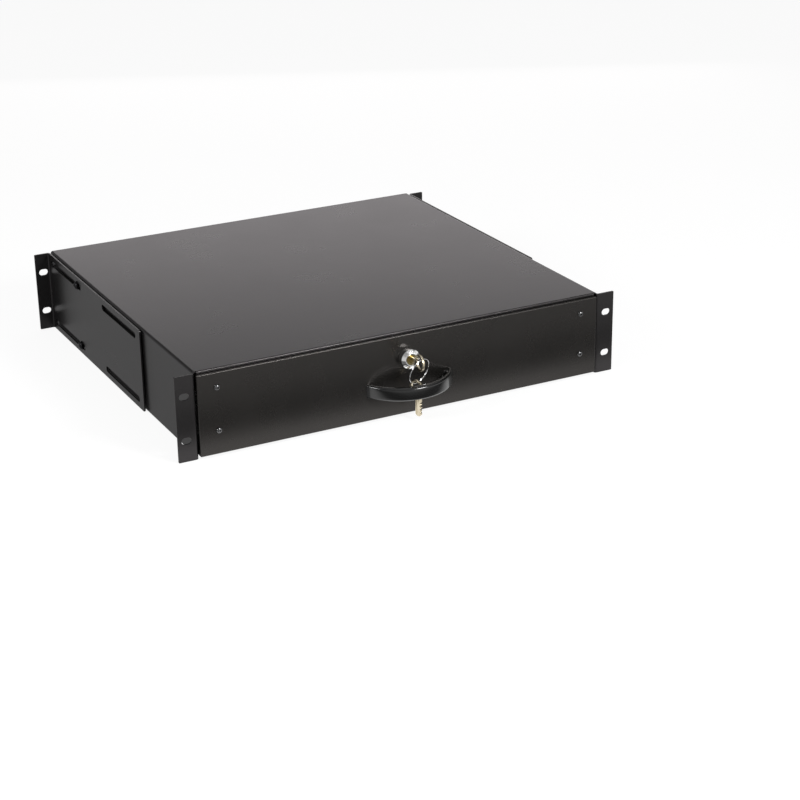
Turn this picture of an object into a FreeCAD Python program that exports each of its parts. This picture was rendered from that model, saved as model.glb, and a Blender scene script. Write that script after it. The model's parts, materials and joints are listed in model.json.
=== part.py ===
"""Sliding rack drawer, two rack units high.

An inverted-U casing with front ears, two adjustable rear brackets, a tray that runs on
three-member ball-bearing slides, and a pull handle, a cam lock and two keys on its front.
Frame: X right, Y to the rear, Z up, in millimetres. The origin is the centre of the four
front ear slots, in the front plane of the ears.
"""
import FreeCAD, Part
import Sketcher
import os
import re

Vector = FreeCAD.Vector
Rotation = FreeCAD.Rotation
X_AXIS = Vector(1, 0, 0)
Y_AXIS = Vector(0, 1, 0)
Z_AXIS = Vector(0, 0, 1)

doc = FreeCAD.newDocument("RackDrawer")
sheet = doc.addObject("Spreadsheet::Sheet", "Sizes")

# ---------------------------------------------------------------------------
# Driving dimensions
# ---------------------------------------------------------------------------
SIZES = [
    # front ears and the rack's bolt pattern
    ("ear_span", 482.6), ("ear_height", 86.5), ("ear_width", 19.0), ("hole_inset", 8.75),
    ("hole_rise", 44.45), ("hole_length", 10.0), ("hole_width", 7.0), ("ear_corner", 0.8),
    # casing
    ("casing_sheet", 1.5), ("casing_depth", 415.0),
    ("casing_top", 44.5), ("casing_bottom", 43.25), ("casing_bend", 2.5), ("ear_bend", 3.0),
    ("lip_depth", 1.5), ("lip_drop", 2.4), ("lip_notch", 4.0), ("lip_bend", 1.4),
    ("flange_width", 18.0), ("flange_start", 12.0),
    ("rear_tab_length", 12.0), ("rear_tab_low", 25.0), ("rear_tab_high", 39.0),
    # rear brackets
    ("bracket_gap", 1.5), ("bracket_sheet", 1.5), ("bracket_length", 282.0), ("bracket_bend", 3.0),
    ("bracket_slot_length", 98.0), ("bracket_slot_width", 6.5), ("bracket_slot_height", 34.0),
    ("front_slot_back", 221.5), ("rear_slot_back", 57.5), ("bracket_screw_back", 95.0),
    ("bracket_corner", 2.0),
    # telescopic slides
    ("slide_thickness", 12.7), ("slide_height", 45.0), ("slide_steel", 1.2),
    ("slide_start", 8.0), ("slide_back", 7.0), ("middle_start", 10.0), ("inner_start", 9.0),
    ("travel_margin", 10.0),
    ("ball_radius", 1.5), ("ball_play", 0.15), ("ball_seat", 0.1), ("ball_count", 4.0),
    ("ball_pitch", 56.5), ("outer_ball_offset", 5.0), ("inner_ball_offset", 7.6),
    ("outer_flange_reach", 10.0), ("outer_lip_drop", 3.3),
    ("middle_offset", 2.0), ("middle_flange_reach", 9.2), ("inner_flange_reach", 7.1),
    ("cage_sheet", 0.5), ("cage_play", 0.15), ("cage_flange_reach", 6.2), ("cage_margin", 9.0),
    ("cage_window_play", 0.1),
    ("rail_rivet_first", 150.0), ("rail_rivet_back", 25.0), ("rail_rivet_count", 3.0),
    ("access_hole_radius", 5.0),
    ("bumper_reach", 7.0), ("bumper_height", 12.0), ("bumper_length", 6.0),
    # tray
    ("tray_sheet", 1.2), ("tray_gap", 17.0), ("tray_rim", 24.0), ("tray_lift", 0.05),
    ("tray_front_drop", 1.5), ("rim_width", 8.0), ("rim_start", 8.0), ("tray_bend", 2.0),
    ("tray_screw_first", 60.0), ("tray_screw_back", 58.0), ("tray_screw_count", 3.0),
    # drawer front
    ("front_play", 1.0), ("front_sheet", 1.2), ("front_proud", 2.0), ("front_top", 41.5),
    ("front_bottom", 41.25), ("front_return", 6.0), ("front_bend", 1.2),
    ("front_screw_inset", 19.6), ("front_screw_high", 26.5), ("front_screw_low", 17.25),
    # handle
    ("handle_radius", 53.5), ("handle_reach", 30.5), ("handle_thickness", 7.0),
    ("hollow_easing", 1.5), ("handle_height", 13.7), ("handle_middle", 9.8), ("handle_shift", 3.2),
    ("handle_foot_inset", 6.8), ("handle_foot_radius", 5.0), ("handle_foot_depth", 7.0),
    ("handle_edge", 1.5),
    # lock
    ("lock_height", 18.25), ("lock_head_radius", 10.0), ("lock_face_radius", 6.6),
    ("lock_head_depth", 10.0), ("lock_bevel_depth", 2.2), ("lock_barrel_radius", 8.9),
    ("lock_barrel_length", 18.0), ("lock_nut_width", 22.0), ("lock_nut_depth", 4.0),
    ("lock_flat", 7.6), ("plug_radius", 5.2), ("plug_play", 0.06),
    ("plug_square", 5.6), ("plug_thread_radius", 2.5), ("plug_thread_length", 3.2),
    ("cam_sheet", 2.0), ("cam_width", 11.0), ("cam_length", 21.0),
    ("cam_nut_width", 8.0), ("cam_nut_depth", 2.4),
    ("strike_bottom", 30.0), ("strike_width", 30.0), ("strike_sheet", 1.5), ("strike_leg", 14.0),
    ("strike_play", 0.8),
    # keys
    ("key_thickness", 2.2), ("key_blade_width", 7.0), ("key_blade_length", 20.5),
    ("key_bow_radius", 8.5), ("key_bow_rise", 2.5), ("key_hole_radius", 5.6),
    ("key_hole_offset", 0.8),
    ("key_neck_length", 4.0), ("key_neck_width", 9.0), ("key_stand_off", 8.0),
    ("key_slot_play", 0.1), ("wire_half", 0.6), ("ring_radius", 13.5),
    ("ring_lean", 16.2), ("ring_yaw", 21.4), ("ring_side", 3.87), ("ring_setback", 9.13),
    ("ring_drop", 9.79), ("ring_play", 0.15),
    ("key_cut_first", 5.0), ("key_cut_pitch", 3.2), ("key_cut_width", 1.4), ("key_cut_depth", 0.8),
    ("key_point", 2.0),
    # fasteners
    ("small_screw_radius", 1.5), ("small_head_radius", 3.0), ("small_head_depth", 2.2),
    ("small_head_bevel", 0.9),
    ("small_nut_width", 5.5), ("small_nut_depth", 2.4),
    ("large_screw_radius", 2.0), ("large_head_radius", 4.0), ("large_head_depth", 2.6),
    ("large_nut_width", 7.0), ("large_nut_depth", 3.2), ("washer_radius", 4.7),
    ("washer_depth", 0.8), ("spacer_radius", 4.2), ("screw_play", 0.1),
    ("rivet_radius", 1.6), ("rivet_head_radius", 3.2), ("rivet_head_depth", 1.0), ("rivet_play", 0.05),
]

for row, (word, value) in enumerate(SIZES, start=1):
    sheet.set("A%d" % row, word)
    sheet.set("B%d" % row, str(value))
    sheet.setAlias("B%d" % row, word)

# Places worked out from the driving dimensions, kept in the same sheet.
PLACES = [
    ("hole_span", "ear_span - 2 * hole_inset"),
    ("casing_width", "ear_span - 2 * ear_width"),
    ("casing_half", "casing_width / 2"),
    ("casing_inside", "casing_half - casing_sheet"),
    ("casing_under", "casing_top - casing_sheet"),
    ("ear_flat", "casing_inside + ear_bend"),
    ("bracket_inside", "casing_half + bracket_gap"),
    ("bracket_outside", "bracket_inside + bracket_sheet"),
    ("tray_half", "casing_inside - slide_thickness"),
    ("bracket_front", "casing_depth - bracket_length"),
    ("front_slot_middle", "casing_depth - front_slot_back"),
    ("rear_slot_middle", "casing_depth - rear_slot_back"),
    ("bracket_screw_place", "casing_depth - bracket_screw_back"),
    ("slide_length", "casing_depth - slide_back - slide_start"),
    ("middle_length", "slide_start + slide_length - bumper_length - middle_start"),
    ("inner_length", "middle_start + middle_length - inner_start"),
    ("drawer_travel", "slide_length - travel_margin"),
    ("rail_rivet_pitch", "(casing_depth - rail_rivet_back - rail_rivet_first) / (rail_rivet_count - 1)"),
    ("tray_back", "casing_depth - tray_gap"),
    ("tray_screw_pitch", "(tray_back - tray_screw_back - tray_screw_first) / (tray_screw_count - 1)"),
    ("slide_half", "slide_height / 2"),
    ("outer_ball_rise", "slide_half - slide_steel - ball_radius + ball_seat"),
    ("middle_half", "outer_ball_rise - ball_radius + ball_seat"),
    ("inner_ball_rise", "middle_half - slide_steel - ball_radius + ball_seat"),
    ("inner_half", "inner_ball_rise - ball_radius + ball_seat"),
    ("cage_length", "ball_pitch * (ball_count - 1) + 2 * cage_margin"),
    ("outer_cage_start", "slide_start + drawer_travel / 4 + 2"),
    ("inner_cage_start", "inner_start + inner_length - drawer_travel / 4 - 2 - cage_length"),
    ("front_half", "casing_inside - front_play"),
    ("front_screw_place", "front_half - front_screw_inset"),
    ("front_back", "front_sheet - front_proud"),
    ("tray_floor", "front_bottom - front_sheet - tray_lift"),
    ("tray_front_rim", "front_top - front_sheet - tray_front_drop"),
    ("wall_back", "front_back + tray_sheet"),
    ("lock_face", "-front_proud - lock_head_depth"),
    ("barrel_end", "lock_barrel_length - front_proud"),
    ("cam_front", "barrel_end + 0.2"),
    ("strike_back", "cam_front - strike_play"),
    ("handle_centre", "handle_radius - handle_reach - front_proud"),
    ("handle_hollow_radius", "handle_radius - hollow_easing"),
    ("handle_half_chord", "sqrt(handle_radius ^ 2 - (handle_radius - handle_reach) ^ 2)"),
    ("handle_foot_place", "handle_half_chord - handle_foot_inset"),
    ("hollow_centre", "handle_centre - handle_radius + handle_thickness + handle_hollow_radius"),
    ("handle_top", "handle_height / 2 - handle_middle"),
    ("handle_bottom", "-handle_height / 2 - handle_middle"),
    ("key_shoulder", "lock_face - key_stand_off"),
    ("bow_centre", "key_shoulder - key_bow_radius"),
    ("hole_centre", "bow_centre - key_hole_offset"),
    ("ring_reach", "ring_radius * sin(ring_lean * 1 deg)"),
    ("ring_rise", "ring_radius * cos(ring_lean * 1 deg)"),
    ("ring_middle_y", "hole_centre + ring_setback"),
    ("ring_middle_z", "lock_height - ring_drop"),
    ("wire_rise", "wire_half * (sin(ring_lean * 1 deg) + cos(ring_lean * 1 deg)) + ring_play"),
    ("hang_side", "ring_side - ring_reach * sin(ring_yaw * 1 deg)"),
    ("hang_place", "ring_middle_y + ring_reach * cos(ring_yaw * 1 deg)"),
    ("spare_side", "hang_side + key_bow_rise * sin(ring_yaw * 1 deg)"),
    ("spare_place", "hang_place - key_bow_rise * cos(ring_yaw * 1 deg)"),
    ("spare_height", "ring_middle_z - ring_rise + wire_rise - key_hole_radius + hole_centre"),
]
first_place = len(SIZES) + 2
for row, (word, formula) in enumerate(PLACES, start=first_place):
    sheet.set("A%d" % row, word)
    sheet.set("B%d" % row, "=" + formula)
    sheet.setAlias("B%d" % row, word)
doc.recompute()

WORDS = sorted([word for word, _ in SIZES + PLACES], key=len, reverse=True)
WORD_PATTERN = re.compile(r"\b(" + "|".join(WORDS) + r")\b")
scratch = doc.addObject("Spreadsheet::Sheet", "Scratch")


def bound(formula):
    """The formula as another object of the document has to write it."""
    return WORD_PATTERN.sub(r"Sizes.\1", str(formula))


def number(formula):
    """The formula's value now, worked out by a sheet that nothing else reads."""
    scratch.set("A1", "=" + bound(formula))
    scratch.recompute()
    value = scratch.get("A1")
    return float(getattr(value, "Value", value))


def bind(thing, prop, formula):
    thing.setExpression(prop, bound(formula))


# ---------------------------------------------------------------------------
# Small building blocks
# ---------------------------------------------------------------------------
def box(name, x, y, z):
    """A block between two formulas on each axis."""
    block = doc.addObject("Part::Box", name)
    for prop, axis, (low, high) in (("Length", "x", x), ("Width", "y", y), ("Height", "z", z)):
        bind(block, prop, "(%s) - (%s)" % (high, low))
        bind(block, "Placement.Base." + axis, low)
    return block


TURNS = {"x": Rotation(Y_AXIS, 90), "y": Rotation(X_AXIS, -90), "z": Rotation()}


def place(thing, at, turn=None):
    """Puts a primitive at a point given by three formulas."""
    if turn is not None:
        thing.Placement = FreeCAD.Placement(Vector(), turn)
    for axis, formula in zip("xyz", at):
        bind(thing, "Placement.Base." + axis, formula)


def rod(name, axis, radius, at, length):
    """A cylinder from a point along +X, +Y or +Z."""
    cylinder = doc.addObject("Part::Cylinder", name)
    bind(cylinder, "Radius", radius)
    bind(cylinder, "Height", length)
    place(cylinder, at, TURNS[axis])
    return cylinder


def hexagon(name, axis, width, at, length):
    """A hexagonal prism, width across its flats, along an axis."""
    prism = doc.addObject("Part::Prism", name)
    prism.Polygon = 6
    bind(prism, "Circumradius", "(%s) / sqrt(3)" % width)
    bind(prism, "Height", length)
    place(prism, at, TURNS[axis])
    return prism


def cut(name, base, *tools):
    result = doc.addObject("Part::Cut", name)
    result.Base = base
    result.Tool = tools[0] if len(tools) == 1 else join(name + "_tools", *tools)
    return result


def join(name, *things):
    result = doc.addObject("Part::MultiFuse", name)
    result.Shapes = list(things)
    return result


def common(name, *things):
    result = doc.addObject("Part::MultiCommon", name)
    result.Shapes = list(things)
    return result


def together(name, *things):
    """A group of separate solids in one node."""
    result = doc.addObject("Part::Compound", name)
    result.Links = list(things)
    return result


def rounded(name, thing, radius, wanted):
    """Rounds the straight edges whose middle point passes the test."""
    doc.recompute()
    edges = []
    size = number(radius)
    for index, edge in enumerate(thing.Shape.Edges, start=1):
        if isinstance(edge.Curve, Part.Line) and wanted(edge, edge.CenterOfMass):
            edges.append((index, size, size))
    result = doc.addObject("Part::Fillet", name)
    result.Base = thing
    result.Edges = edges
    return result


def along(edge, axis):
    """True where a straight edge runs parallel to the axis."""
    return abs(abs(edge.tangentAt(edge.FirstParameter).dot(axis)) - 1) < 1e-6


def near(value, formula, slack=0.01):
    return abs(value - number(formula)) < slack


def slot_cutter(name, across, axis, middle, length, width, low, high):
    """A round-ended slot: along one axis, cut right through from low to high on another."""
    straight = "(%s - %s) / 2" % (length, width)
    parts = []
    spans = {
        across: (low, high),
        axis: ("%s - %s" % (middle[axis], straight), "%s + %s" % (middle[axis], straight)),
    }
    third = [letter for letter in "xyz" if letter not in (across, axis)][0]
    spans[third] = ("%s - %s / 2" % (middle[third], width), "%s + %s / 2" % (middle[third], width))
    parts.append(box(name + "_straight", spans["x"], spans["y"], spans["z"]))
    for tail, end in enumerate(spans[axis]):
        at = {across: low, axis: end, third: middle[third]}
        depth = "(%s) - (%s)" % (high, low)
        parts.append(rod("%s_end_%d" % (name, tail), across, "%s / 2" % width,
                         (at["x"], at["y"], at["z"]), depth))
    return join(name, *parts)


def mirrored(name, thing):
    """The same piece on the other side of the middle plane."""
    result = doc.addObject("Part::Mirroring", name)
    result.Source = thing
    result.Base = Vector()
    result.Normal = X_AXIS
    return result


def origin_plane(body, role):
    for feature in body.Origin.OriginFeatures:
        if feature.Role == role:
            return feature
    raise ValueError("no plane " + role)


def new_sketch(body, role, name):
    sketch = body.newObject("Sketcher::SketchObject", name)
    sketch.AttachmentSupport = (origin_plane(body, role), [""])
    sketch.MapMode = "FlatFace"
    return sketch


def outline(sketch, corners):
    """A closed outline of straight lines whose corners are bound to the sheet."""
    points = [Vector(number(x), number(y), 0) for x, y in corners]
    first = sketch.GeometryCount
    for start, end in zip(points, points[1:] + points[:1]):
        sketch.addGeometry(Part.LineSegment(start, end), False)
    count = len(points)
    for index in range(count):
        sketch.addConstraint(Sketcher.Constraint("Coincident", first + index, 2,
                                                 first + (index + 1) % count, 1))
    for index, (x, y) in enumerate(corners):
        for kind, formula in (("DistanceX", x), ("DistanceY", y)):
            row = sketch.addConstraint(Sketcher.Constraint(kind, -1, 1, first + index, 1,
                                                           number(formula)))
            sketch.setExpression("Constraints[%d]" % row, bound(formula))


def circle(sketch, x, y, radius):
    """A circle whose centre and radius are bound to the sheet."""
    middle = Vector(number(x), number(y), 0)
    geometry = sketch.addGeometry(Part.Circle(middle, Z_AXIS, number(radius)), False)
    for kind, formula in (("DistanceX", x), ("DistanceY", y)):
        row = sketch.addConstraint(Sketcher.Constraint(kind, -1, 1, geometry, 3, number(formula)))
        sketch.setExpression("Constraints[%d]" % row, bound(formula))
    row = sketch.addConstraint(Sketcher.Constraint("Radius", geometry, number(radius)))
    sketch.setExpression("Constraints[%d]" % row, bound(radius))


def pad(body, sketch, name, length, reverse=False, middle=False):
    doc.recompute()
    feature = body.newObject("PartDesign::Pad", name)
    feature.Profile = sketch
    feature.Reversed = reverse
    feature.Midplane = middle
    bind(feature, "Length", length)
    return feature


def pocket(body, sketch, name, length, reverse=False, middle=False):
    doc.recompute()
    feature = body.newObject("PartDesign::Pocket", name)
    feature.Profile = sketch
    feature.Reversed = reverse
    feature.Midplane = middle
    bind(feature, "Length", length)
    return feature


def bend(name, centre, outer, thick, x, y, z):
    """A quarter of a bent sheet: a ring about an upright line, kept inside one block."""
    at = (centre[0], centre[1], z[0])
    height = "(%s) - (%s)" % (z[1], z[0])
    skin = rod(name + "_outside", "z", outer, at, height)
    core = rod(name + "_inside", "z", "%s - %s" % (outer, thick), at, height)
    return common(name, cut(name + "_ring", skin, core), box(name + "_quarter", x, y, z))


nodes = []


def node(name, thing):
    """Registers a finished piece under the name its file gets."""
    thing.Label = name
    nodes.append((name, thing))
    return thing


def pair(name, thing):
    """Registers a right-hand piece and its mirror image."""
    node("right_" + name, thing)
    node("left_" + name, mirrored("left_" + name + "_mirror", thing))


SIDES = (("right", ""), ("left", "-"))
LEVELS = (("upper", ""), ("lower", "-"))

# ---------------------------------------------------------------------------
# Casing: top and sides in one bent sheet, with front ears and inward bottom flanges
# ---------------------------------------------------------------------------
tube = cut(
    "casing_tube",
    box("casing_block", ("-casing_half", "casing_half"), ("ear_bend", "casing_depth"),
        ("-casing_bottom", "casing_top")),
    box("casing_hollow", ("-casing_inside", "casing_inside"), ("ear_bend - 1", "casing_depth + 1"),
        ("-casing_bottom + casing_sheet", "casing_under")),
)
tube = rounded("casing_outer_bends", tube, "casing_bend",
               lambda edge, middle: along(edge, Y_AXIS) and near(abs(middle.x), "casing_half"))
tube = rounded("casing_inner_bends", tube, "casing_bend - casing_sheet",
               lambda edge, middle: along(edge, Y_AXIS) and near(abs(middle.x), "casing_inside"))
tube = cut(
    "casing_channel",
    tube,
    box("casing_open_floor", ("-casing_inside + flange_width", "casing_inside - flange_width"),
        ("0", "casing_depth + 1"), ("-casing_bottom - 1", "-casing_bottom + casing_sheet + 1")),
    box("casing_front_floor", ("-casing_inside", "casing_inside"), ("0", "flange_start"),
        ("-casing_bottom - 1", "-casing_bottom + casing_bend")),
)
lip_half = "casing_half - lip_notch"
lip = cut(
    "front_lip_angle",
    box("front_lip_block", ("-(%s)" % lip_half, lip_half), ("lip_depth", "ear_bend + 1"),
        ("casing_top - lip_drop", "casing_top")),
    box("front_lip_space", ("-casing_half", "casing_half"), ("lip_depth + casing_sheet", "ear_bend + 2"),
        ("casing_top - lip_drop - 1", "casing_under")),
)
lip = rounded("front_lip", lip, "lip_bend",
              lambda edge, middle: along(edge, X_AXIS) and near(middle.y, "lip_depth")
              and near(middle.z, "casing_top"))


def ear_slots(name, sign, low, high):
    """The two slots of one ear, cut through from low to high."""
    return [slot_cutter("%s_%s" % (name, level), "y", "x",
                        {"x": "%shole_span / 2" % sign, "z": "%shole_rise / 2" % rise},
                        "hole_length", "hole_width", low, high)
            for level, rise in LEVELS]


ear_z = ("-ear_height / 2", "ear_height / 2")
ear = box("ear_plate", ("ear_flat", "ear_span / 2"), ("0", "casing_sheet"), ear_z)
ear = rounded("ear_rounded", ear, "ear_corner",
              lambda edge, middle: along(edge, Y_AXIS) and near(middle.x, "ear_span / 2"))
ear = cut("ear_slotted", ear, *ear_slots("ear_slot", "", "-1", "casing_sheet + 1"))
ear_fold = bend("ear_fold", ("ear_flat", "ear_bend"), "ear_bend", "casing_sheet",
                ("casing_inside", "ear_flat"), ("0", "ear_bend"), ear_z)
ear = join("right_ear", ear, ear_fold)
casing = join("casing_with_ears", tube, lip, ear, mirrored("left_ear", ear))

holes = []
for level, rise in LEVELS:
    holes.append(rod("bracket_screw_hole_" + level, "x", "large_screw_radius + screw_play",
                     ("casing_inside - 1", "bracket_screw_place",
                      "%sbracket_slot_height" % rise), "casing_sheet + 2"))
    holes.append(rod("tab_rivet_hole_" + level, "x", "rivet_radius + rivet_play",
                     ("casing_inside - 1", "casing_depth - casing_sheet - rear_tab_length / 2",
                      "%s(rear_tab_low + rear_tab_high) / 2" % rise), "casing_sheet + 2"))
rivet_places = ["rail_rivet_first + %d * rail_rivet_pitch" % step
                for step in range(int(number("rail_rivet_count")))]
for step, rivet_place in enumerate(rivet_places):
    holes.append(rod("rail_rivet_hole_%d" % step, "x", "rivet_radius + rivet_play",
                     ("casing_inside - 1", rivet_place, "0"), "casing_sheet + 2"))
side_holes = join("side_holes", *holes)
node("casing_shell", cut("casing_drilled", casing, side_holes, mirrored("left_holes", side_holes)))

# Rear panel with four riveted tabs
panel = box("rear_sheet", ("-casing_inside", "casing_inside"),
            ("casing_depth - casing_sheet", "casing_depth"),
            ("-casing_bottom + casing_sheet", "casing_under"))
panel = rounded("rear_sheet_rounded", panel, "casing_bend - casing_sheet + 0.2",
                lambda edge, middle: along(edge, Y_AXIS))
tab_y = ("casing_depth - casing_sheet - rear_tab_length", "casing_depth - casing_sheet + 0.1")
tabs = []
tab_holes = []
tab_rivets = []
for level, rise in LEVELS:
    low, high = ("rear_tab_low", "rear_tab_high") if not rise else ("-rear_tab_high", "-rear_tab_low")
    tab = box("rear_tab_" + level, ("casing_inside - casing_sheet", "casing_inside"), tab_y,
              (low, high))
    tabs.append(rounded("rear_tab_round_" + level, tab, "bracket_corner",
                        lambda edge, middle: along(edge, X_AXIS) and middle.y < number(tab_y[0]) + 1))
    middle_z = "%s(rear_tab_low + rear_tab_high) / 2" % rise
    middle_y = "casing_depth - casing_sheet - rear_tab_length / 2"
    tab_holes.append(rod("tab_hole_" + level, "x", "rivet_radius + rivet_play",
                         ("casing_inside - casing_sheet - 1", middle_y, middle_z), "casing_sheet + 2"))
    shank = rod("tab_rivet_shank_" + level, "x", "rivet_radius",
                ("casing_inside - casing_sheet - 0.6", middle_y, middle_z),
                "2 * casing_sheet + 0.6 + rivet_head_depth / 2")
    head = rod("tab_rivet_head_" + level, "x", "rivet_head_radius",
               ("casing_half", middle_y, middle_z), "rivet_head_depth")
    tail = rod("tab_rivet_tail_" + level, "x", "rivet_radius + 0.7",
               ("casing_inside - casing_sheet - 0.8", middle_y, middle_z), "0.8")
    tab_rivets.append(join("tab_rivet_" + level, shank, head, tail))
right_tabs = cut("right_tabs", join("right_tab_pair", *tabs), *tab_holes)
node("rear_panel", join("rear_panel_joined", panel, right_tabs, mirrored("left_tabs", right_tabs)))
right_tab_rivets = together("right_tab_rivets", *tab_rivets)
node("rear_panel_rivets", together("rear_rivet_set", right_tab_rivets,
                                   mirrored("left_tab_rivets", right_tab_rivets)))

# Strike angle under the top, caught by the cam
strike = cut(
    "strike_angle",
    box("strike_block", ("-strike_width / 2", "strike_width / 2"),
        ("strike_back - strike_sheet", "strike_back + strike_leg"), ("strike_bottom", "casing_under")),
    box("strike_space", ("-strike_width", "strike_width"), ("strike_back", "strike_back + strike_leg + 1"),
        ("strike_bottom - 1", "casing_under - strike_sheet")),
)
node("lock_strike", rounded("strike_bent", strike, "strike_sheet",
                            lambda edge, middle: along(edge, X_AXIS)
                            and near(middle.y, "strike_back - strike_sheet")
                            and near(middle.z, "casing_under")))

# ---------------------------------------------------------------------------
# Telescopic slides, right-hand side: each member is one profile run along Y
# ---------------------------------------------------------------------------
GROOVE = "ball_radius + ball_play"


def profile_body(name, corners, grooves, start, length):
    """A rolled profile: its corners, the two ball tracks of each row, and its run."""
    body = doc.addObject("PartDesign::Body", name)
    sketch = new_sketch(body, "XZ_Plane", name + "_profile")
    outline(sketch, corners)
    pad(body, sketch, name + "_pad", length, reverse=True)
    if grooves:
        tracks = new_sketch(body, "XZ_Plane", name + "_tracks")
        for offset, rise in grooves:
            circle(tracks, "casing_inside - (%s)" % offset, rise, GROOVE)
            circle(tracks, "casing_inside - (%s)" % offset, "-(%s)" % rise, GROOVE)
        pocket(body, tracks, name + "_groove", length, reverse=False)
    bind(body, "Placement.Base.y", start)
    return body


def from_side(offset):
    """A distance inward from the casing's side, as an X place."""
    return "casing_inside - (%s)" % offset


def channel(inner_x, outer_x, half, sheet_depth):
    """Corners of a plain channel: web at outer_x, flanges reaching to inner_x."""
    web = "%s + %s" % (outer_x, sheet_depth)
    flange = "%s - %s" % (half, sheet_depth)
    return [
        (from_side(outer_x), "-(%s)" % half), (from_side(inner_x), "-(%s)" % half),
        (from_side(inner_x), "-(%s)" % flange), (from_side(web), "-(%s)" % flange),
        (from_side(web), flange), (from_side(inner_x), flange),
        (from_side(inner_x), half), (from_side(outer_x), half),
    ]


reach = "outer_flange_reach"
lip_in = "outer_flange_reach - slide_steel"
flange_in = "slide_half - slide_steel"
lip_end = "slide_half - outer_lip_drop"
outer_corners = [
    (from_side("0"), "-slide_half"), (from_side(reach), "-slide_half"),
    (from_side(reach), "-(%s)" % lip_end), (from_side(lip_in), "-(%s)" % lip_end),
    (from_side(lip_in), "-(%s)" % flange_in), (from_side("slide_steel"), "-(%s)" % flange_in),
    (from_side("slide_steel"), flange_in), (from_side(lip_in), flange_in),
    (from_side(lip_in), lip_end), (from_side(reach), lip_end),
    (from_side(reach), "slide_half"), (from_side("0"), "slide_half"),
]
outer_rail = profile_body("outer_rail", outer_corners, [("outer_ball_offset", "outer_ball_rise")],
                          "slide_start", "slide_length")
outer_holes = [rod("outer_rail_hole_%d" % step, "x", "rivet_radius + rivet_play",
                   ("casing_inside - slide_steel - 1", rivet_place, "0"), "slide_steel + 2")
               for step, rivet_place in enumerate(rivet_places)]
pair("outer_rail", cut("outer_rail_drilled", outer_rail, *outer_holes))

rivets = []
for step, rivet_place in enumerate(rivet_places):
    shank = rod("rail_rivet_shank_%d" % step, "x", "rivet_radius",
                ("casing_inside - slide_steel", rivet_place, "0"),
                "slide_steel + casing_sheet + rivet_head_depth / 2")
    head = rod("rail_rivet_head_%d" % step, "x", "rivet_head_radius",
               ("casing_half", rivet_place, "0"), "rivet_head_depth")
    rivets.append(join("rail_rivet_%d" % step, shank, head))
right_rivets = together("right_rail_rivets", *rivets)
node("outer_rail_rivets", together("rail_rivet_set", right_rivets,
                                   mirrored("left_rail_rivets", right_rivets)))

bumper = box("bumper_block", (from_side("slide_steel + bumper_reach"), from_side("slide_steel")),
             ("middle_start + middle_length", "slide_start + slide_length"),
             ("-bumper_height / 2", "bumper_height / 2"))
pair("rail_bumper", rounded("bumper_rounded", bumper, "slide_steel",
                            lambda edge, middle: along(edge, Y_AXIS)
                            and middle.x < number("casing_inside - slide_steel - 1")))

middle_rail = profile_body(
    "middle_rail",
    channel("middle_flange_reach", "middle_offset", "middle_half", "slide_steel"),
    [("outer_ball_offset", "outer_ball_rise"), ("inner_ball_offset", "inner_ball_rise")],
    "middle_start", "middle_length")
middle_holes = [rod("middle_access_%d" % step, "x", "access_hole_radius",
                    (from_side("middle_offset + slide_steel + 1"),
                     "middle_start + middle_length * %s" % share, "0"), "slide_steel + 2")
                for step, share in enumerate(("0.12", "0.5", "0.88"))]
pair("middle_rail", cut("middle_rail_drilled", middle_rail, *middle_holes))

inner_web = "slide_thickness"
inner_rail = profile_body(
    "inner_rail",
    [(from_side(inner_web), "-inner_half"), (from_side(inner_web), "inner_half"),
     (from_side("slide_thickness - inner_flange_reach"), "inner_half"),
     (from_side("slide_thickness - inner_flange_reach"), "inner_half - slide_steel"),
     (from_side("slide_thickness - slide_steel"), "inner_half - slide_steel"),
     (from_side("slide_thickness - slide_steel"), "-(inner_half - slide_steel)"),
     (from_side("slide_thickness - inner_flange_reach"), "-(inner_half - slide_steel)"),
     (from_side("slide_thickness - inner_flange_reach"), "-inner_half")],
    [("inner_ball_offset", "inner_ball_rise")],
    "inner_start", "inner_length")
tray_screw_places = ["tray_screw_first + %d * tray_screw_pitch" % step
                     for step in range(int(number("tray_screw_count")))]
inner_holes = [rod("inner_rail_hole_%d" % step, "x", "small_screw_radius + screw_play",
                   ("tray_half - 1", screw_place, "0"), "slide_steel + 2")
               for step, screw_place in enumerate(tray_screw_places)]
pair("inner_rail", cut("inner_rail_drilled", inner_rail, *inner_holes))

screws = []
for step, screw_place in enumerate(tray_screw_places):
    shank = rod("tray_screw_shank_%d" % step, "x", "small_screw_radius",
                ("tray_half - tray_sheet", screw_place, "0"), "tray_sheet + slide_steel")
    head = rod("tray_screw_head_%d" % step, "x", "small_head_radius",
               ("tray_half - tray_sheet - small_head_depth", screw_place, "0"), "small_head_depth")
    screws.append(join("tray_screw_%d" % step, shank, head))
right_screws = together("right_tray_screws", *screws)
node("tray_rail_screws", together("tray_screw_set", right_screws,
                                  mirrored("left_tray_screws", right_screws)))


def ball(name, at):
    """A ball as a drum between two cones, which keeps its facets few."""
    x, y, z = at
    near_height = "ball_radius * sin(22.5 * 1 deg)"
    far_height = "ball_radius * cos(22.5 * 1 deg)"
    parts = [rod(name + "_drum", "z", far_height, (x, y, "%s - %s" % (z, near_height)),
                 "2 * %s" % near_height)]
    for level, low, lower, upper in (("top", near_height, far_height, near_height),
                                     ("foot", "-" + far_height, near_height, far_height)):
        cone = doc.addObject("Part::Cone", "%s_%s" % (name, level))
        bind(cone, "Radius1", lower)
        bind(cone, "Radius2", upper)
        bind(cone, "Height", "%s - %s" % (far_height, near_height))
        place(cone, (x, y, "%s + %s" % (z, low)))
        parts.append(cone)
    return join(name, *parts)


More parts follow.
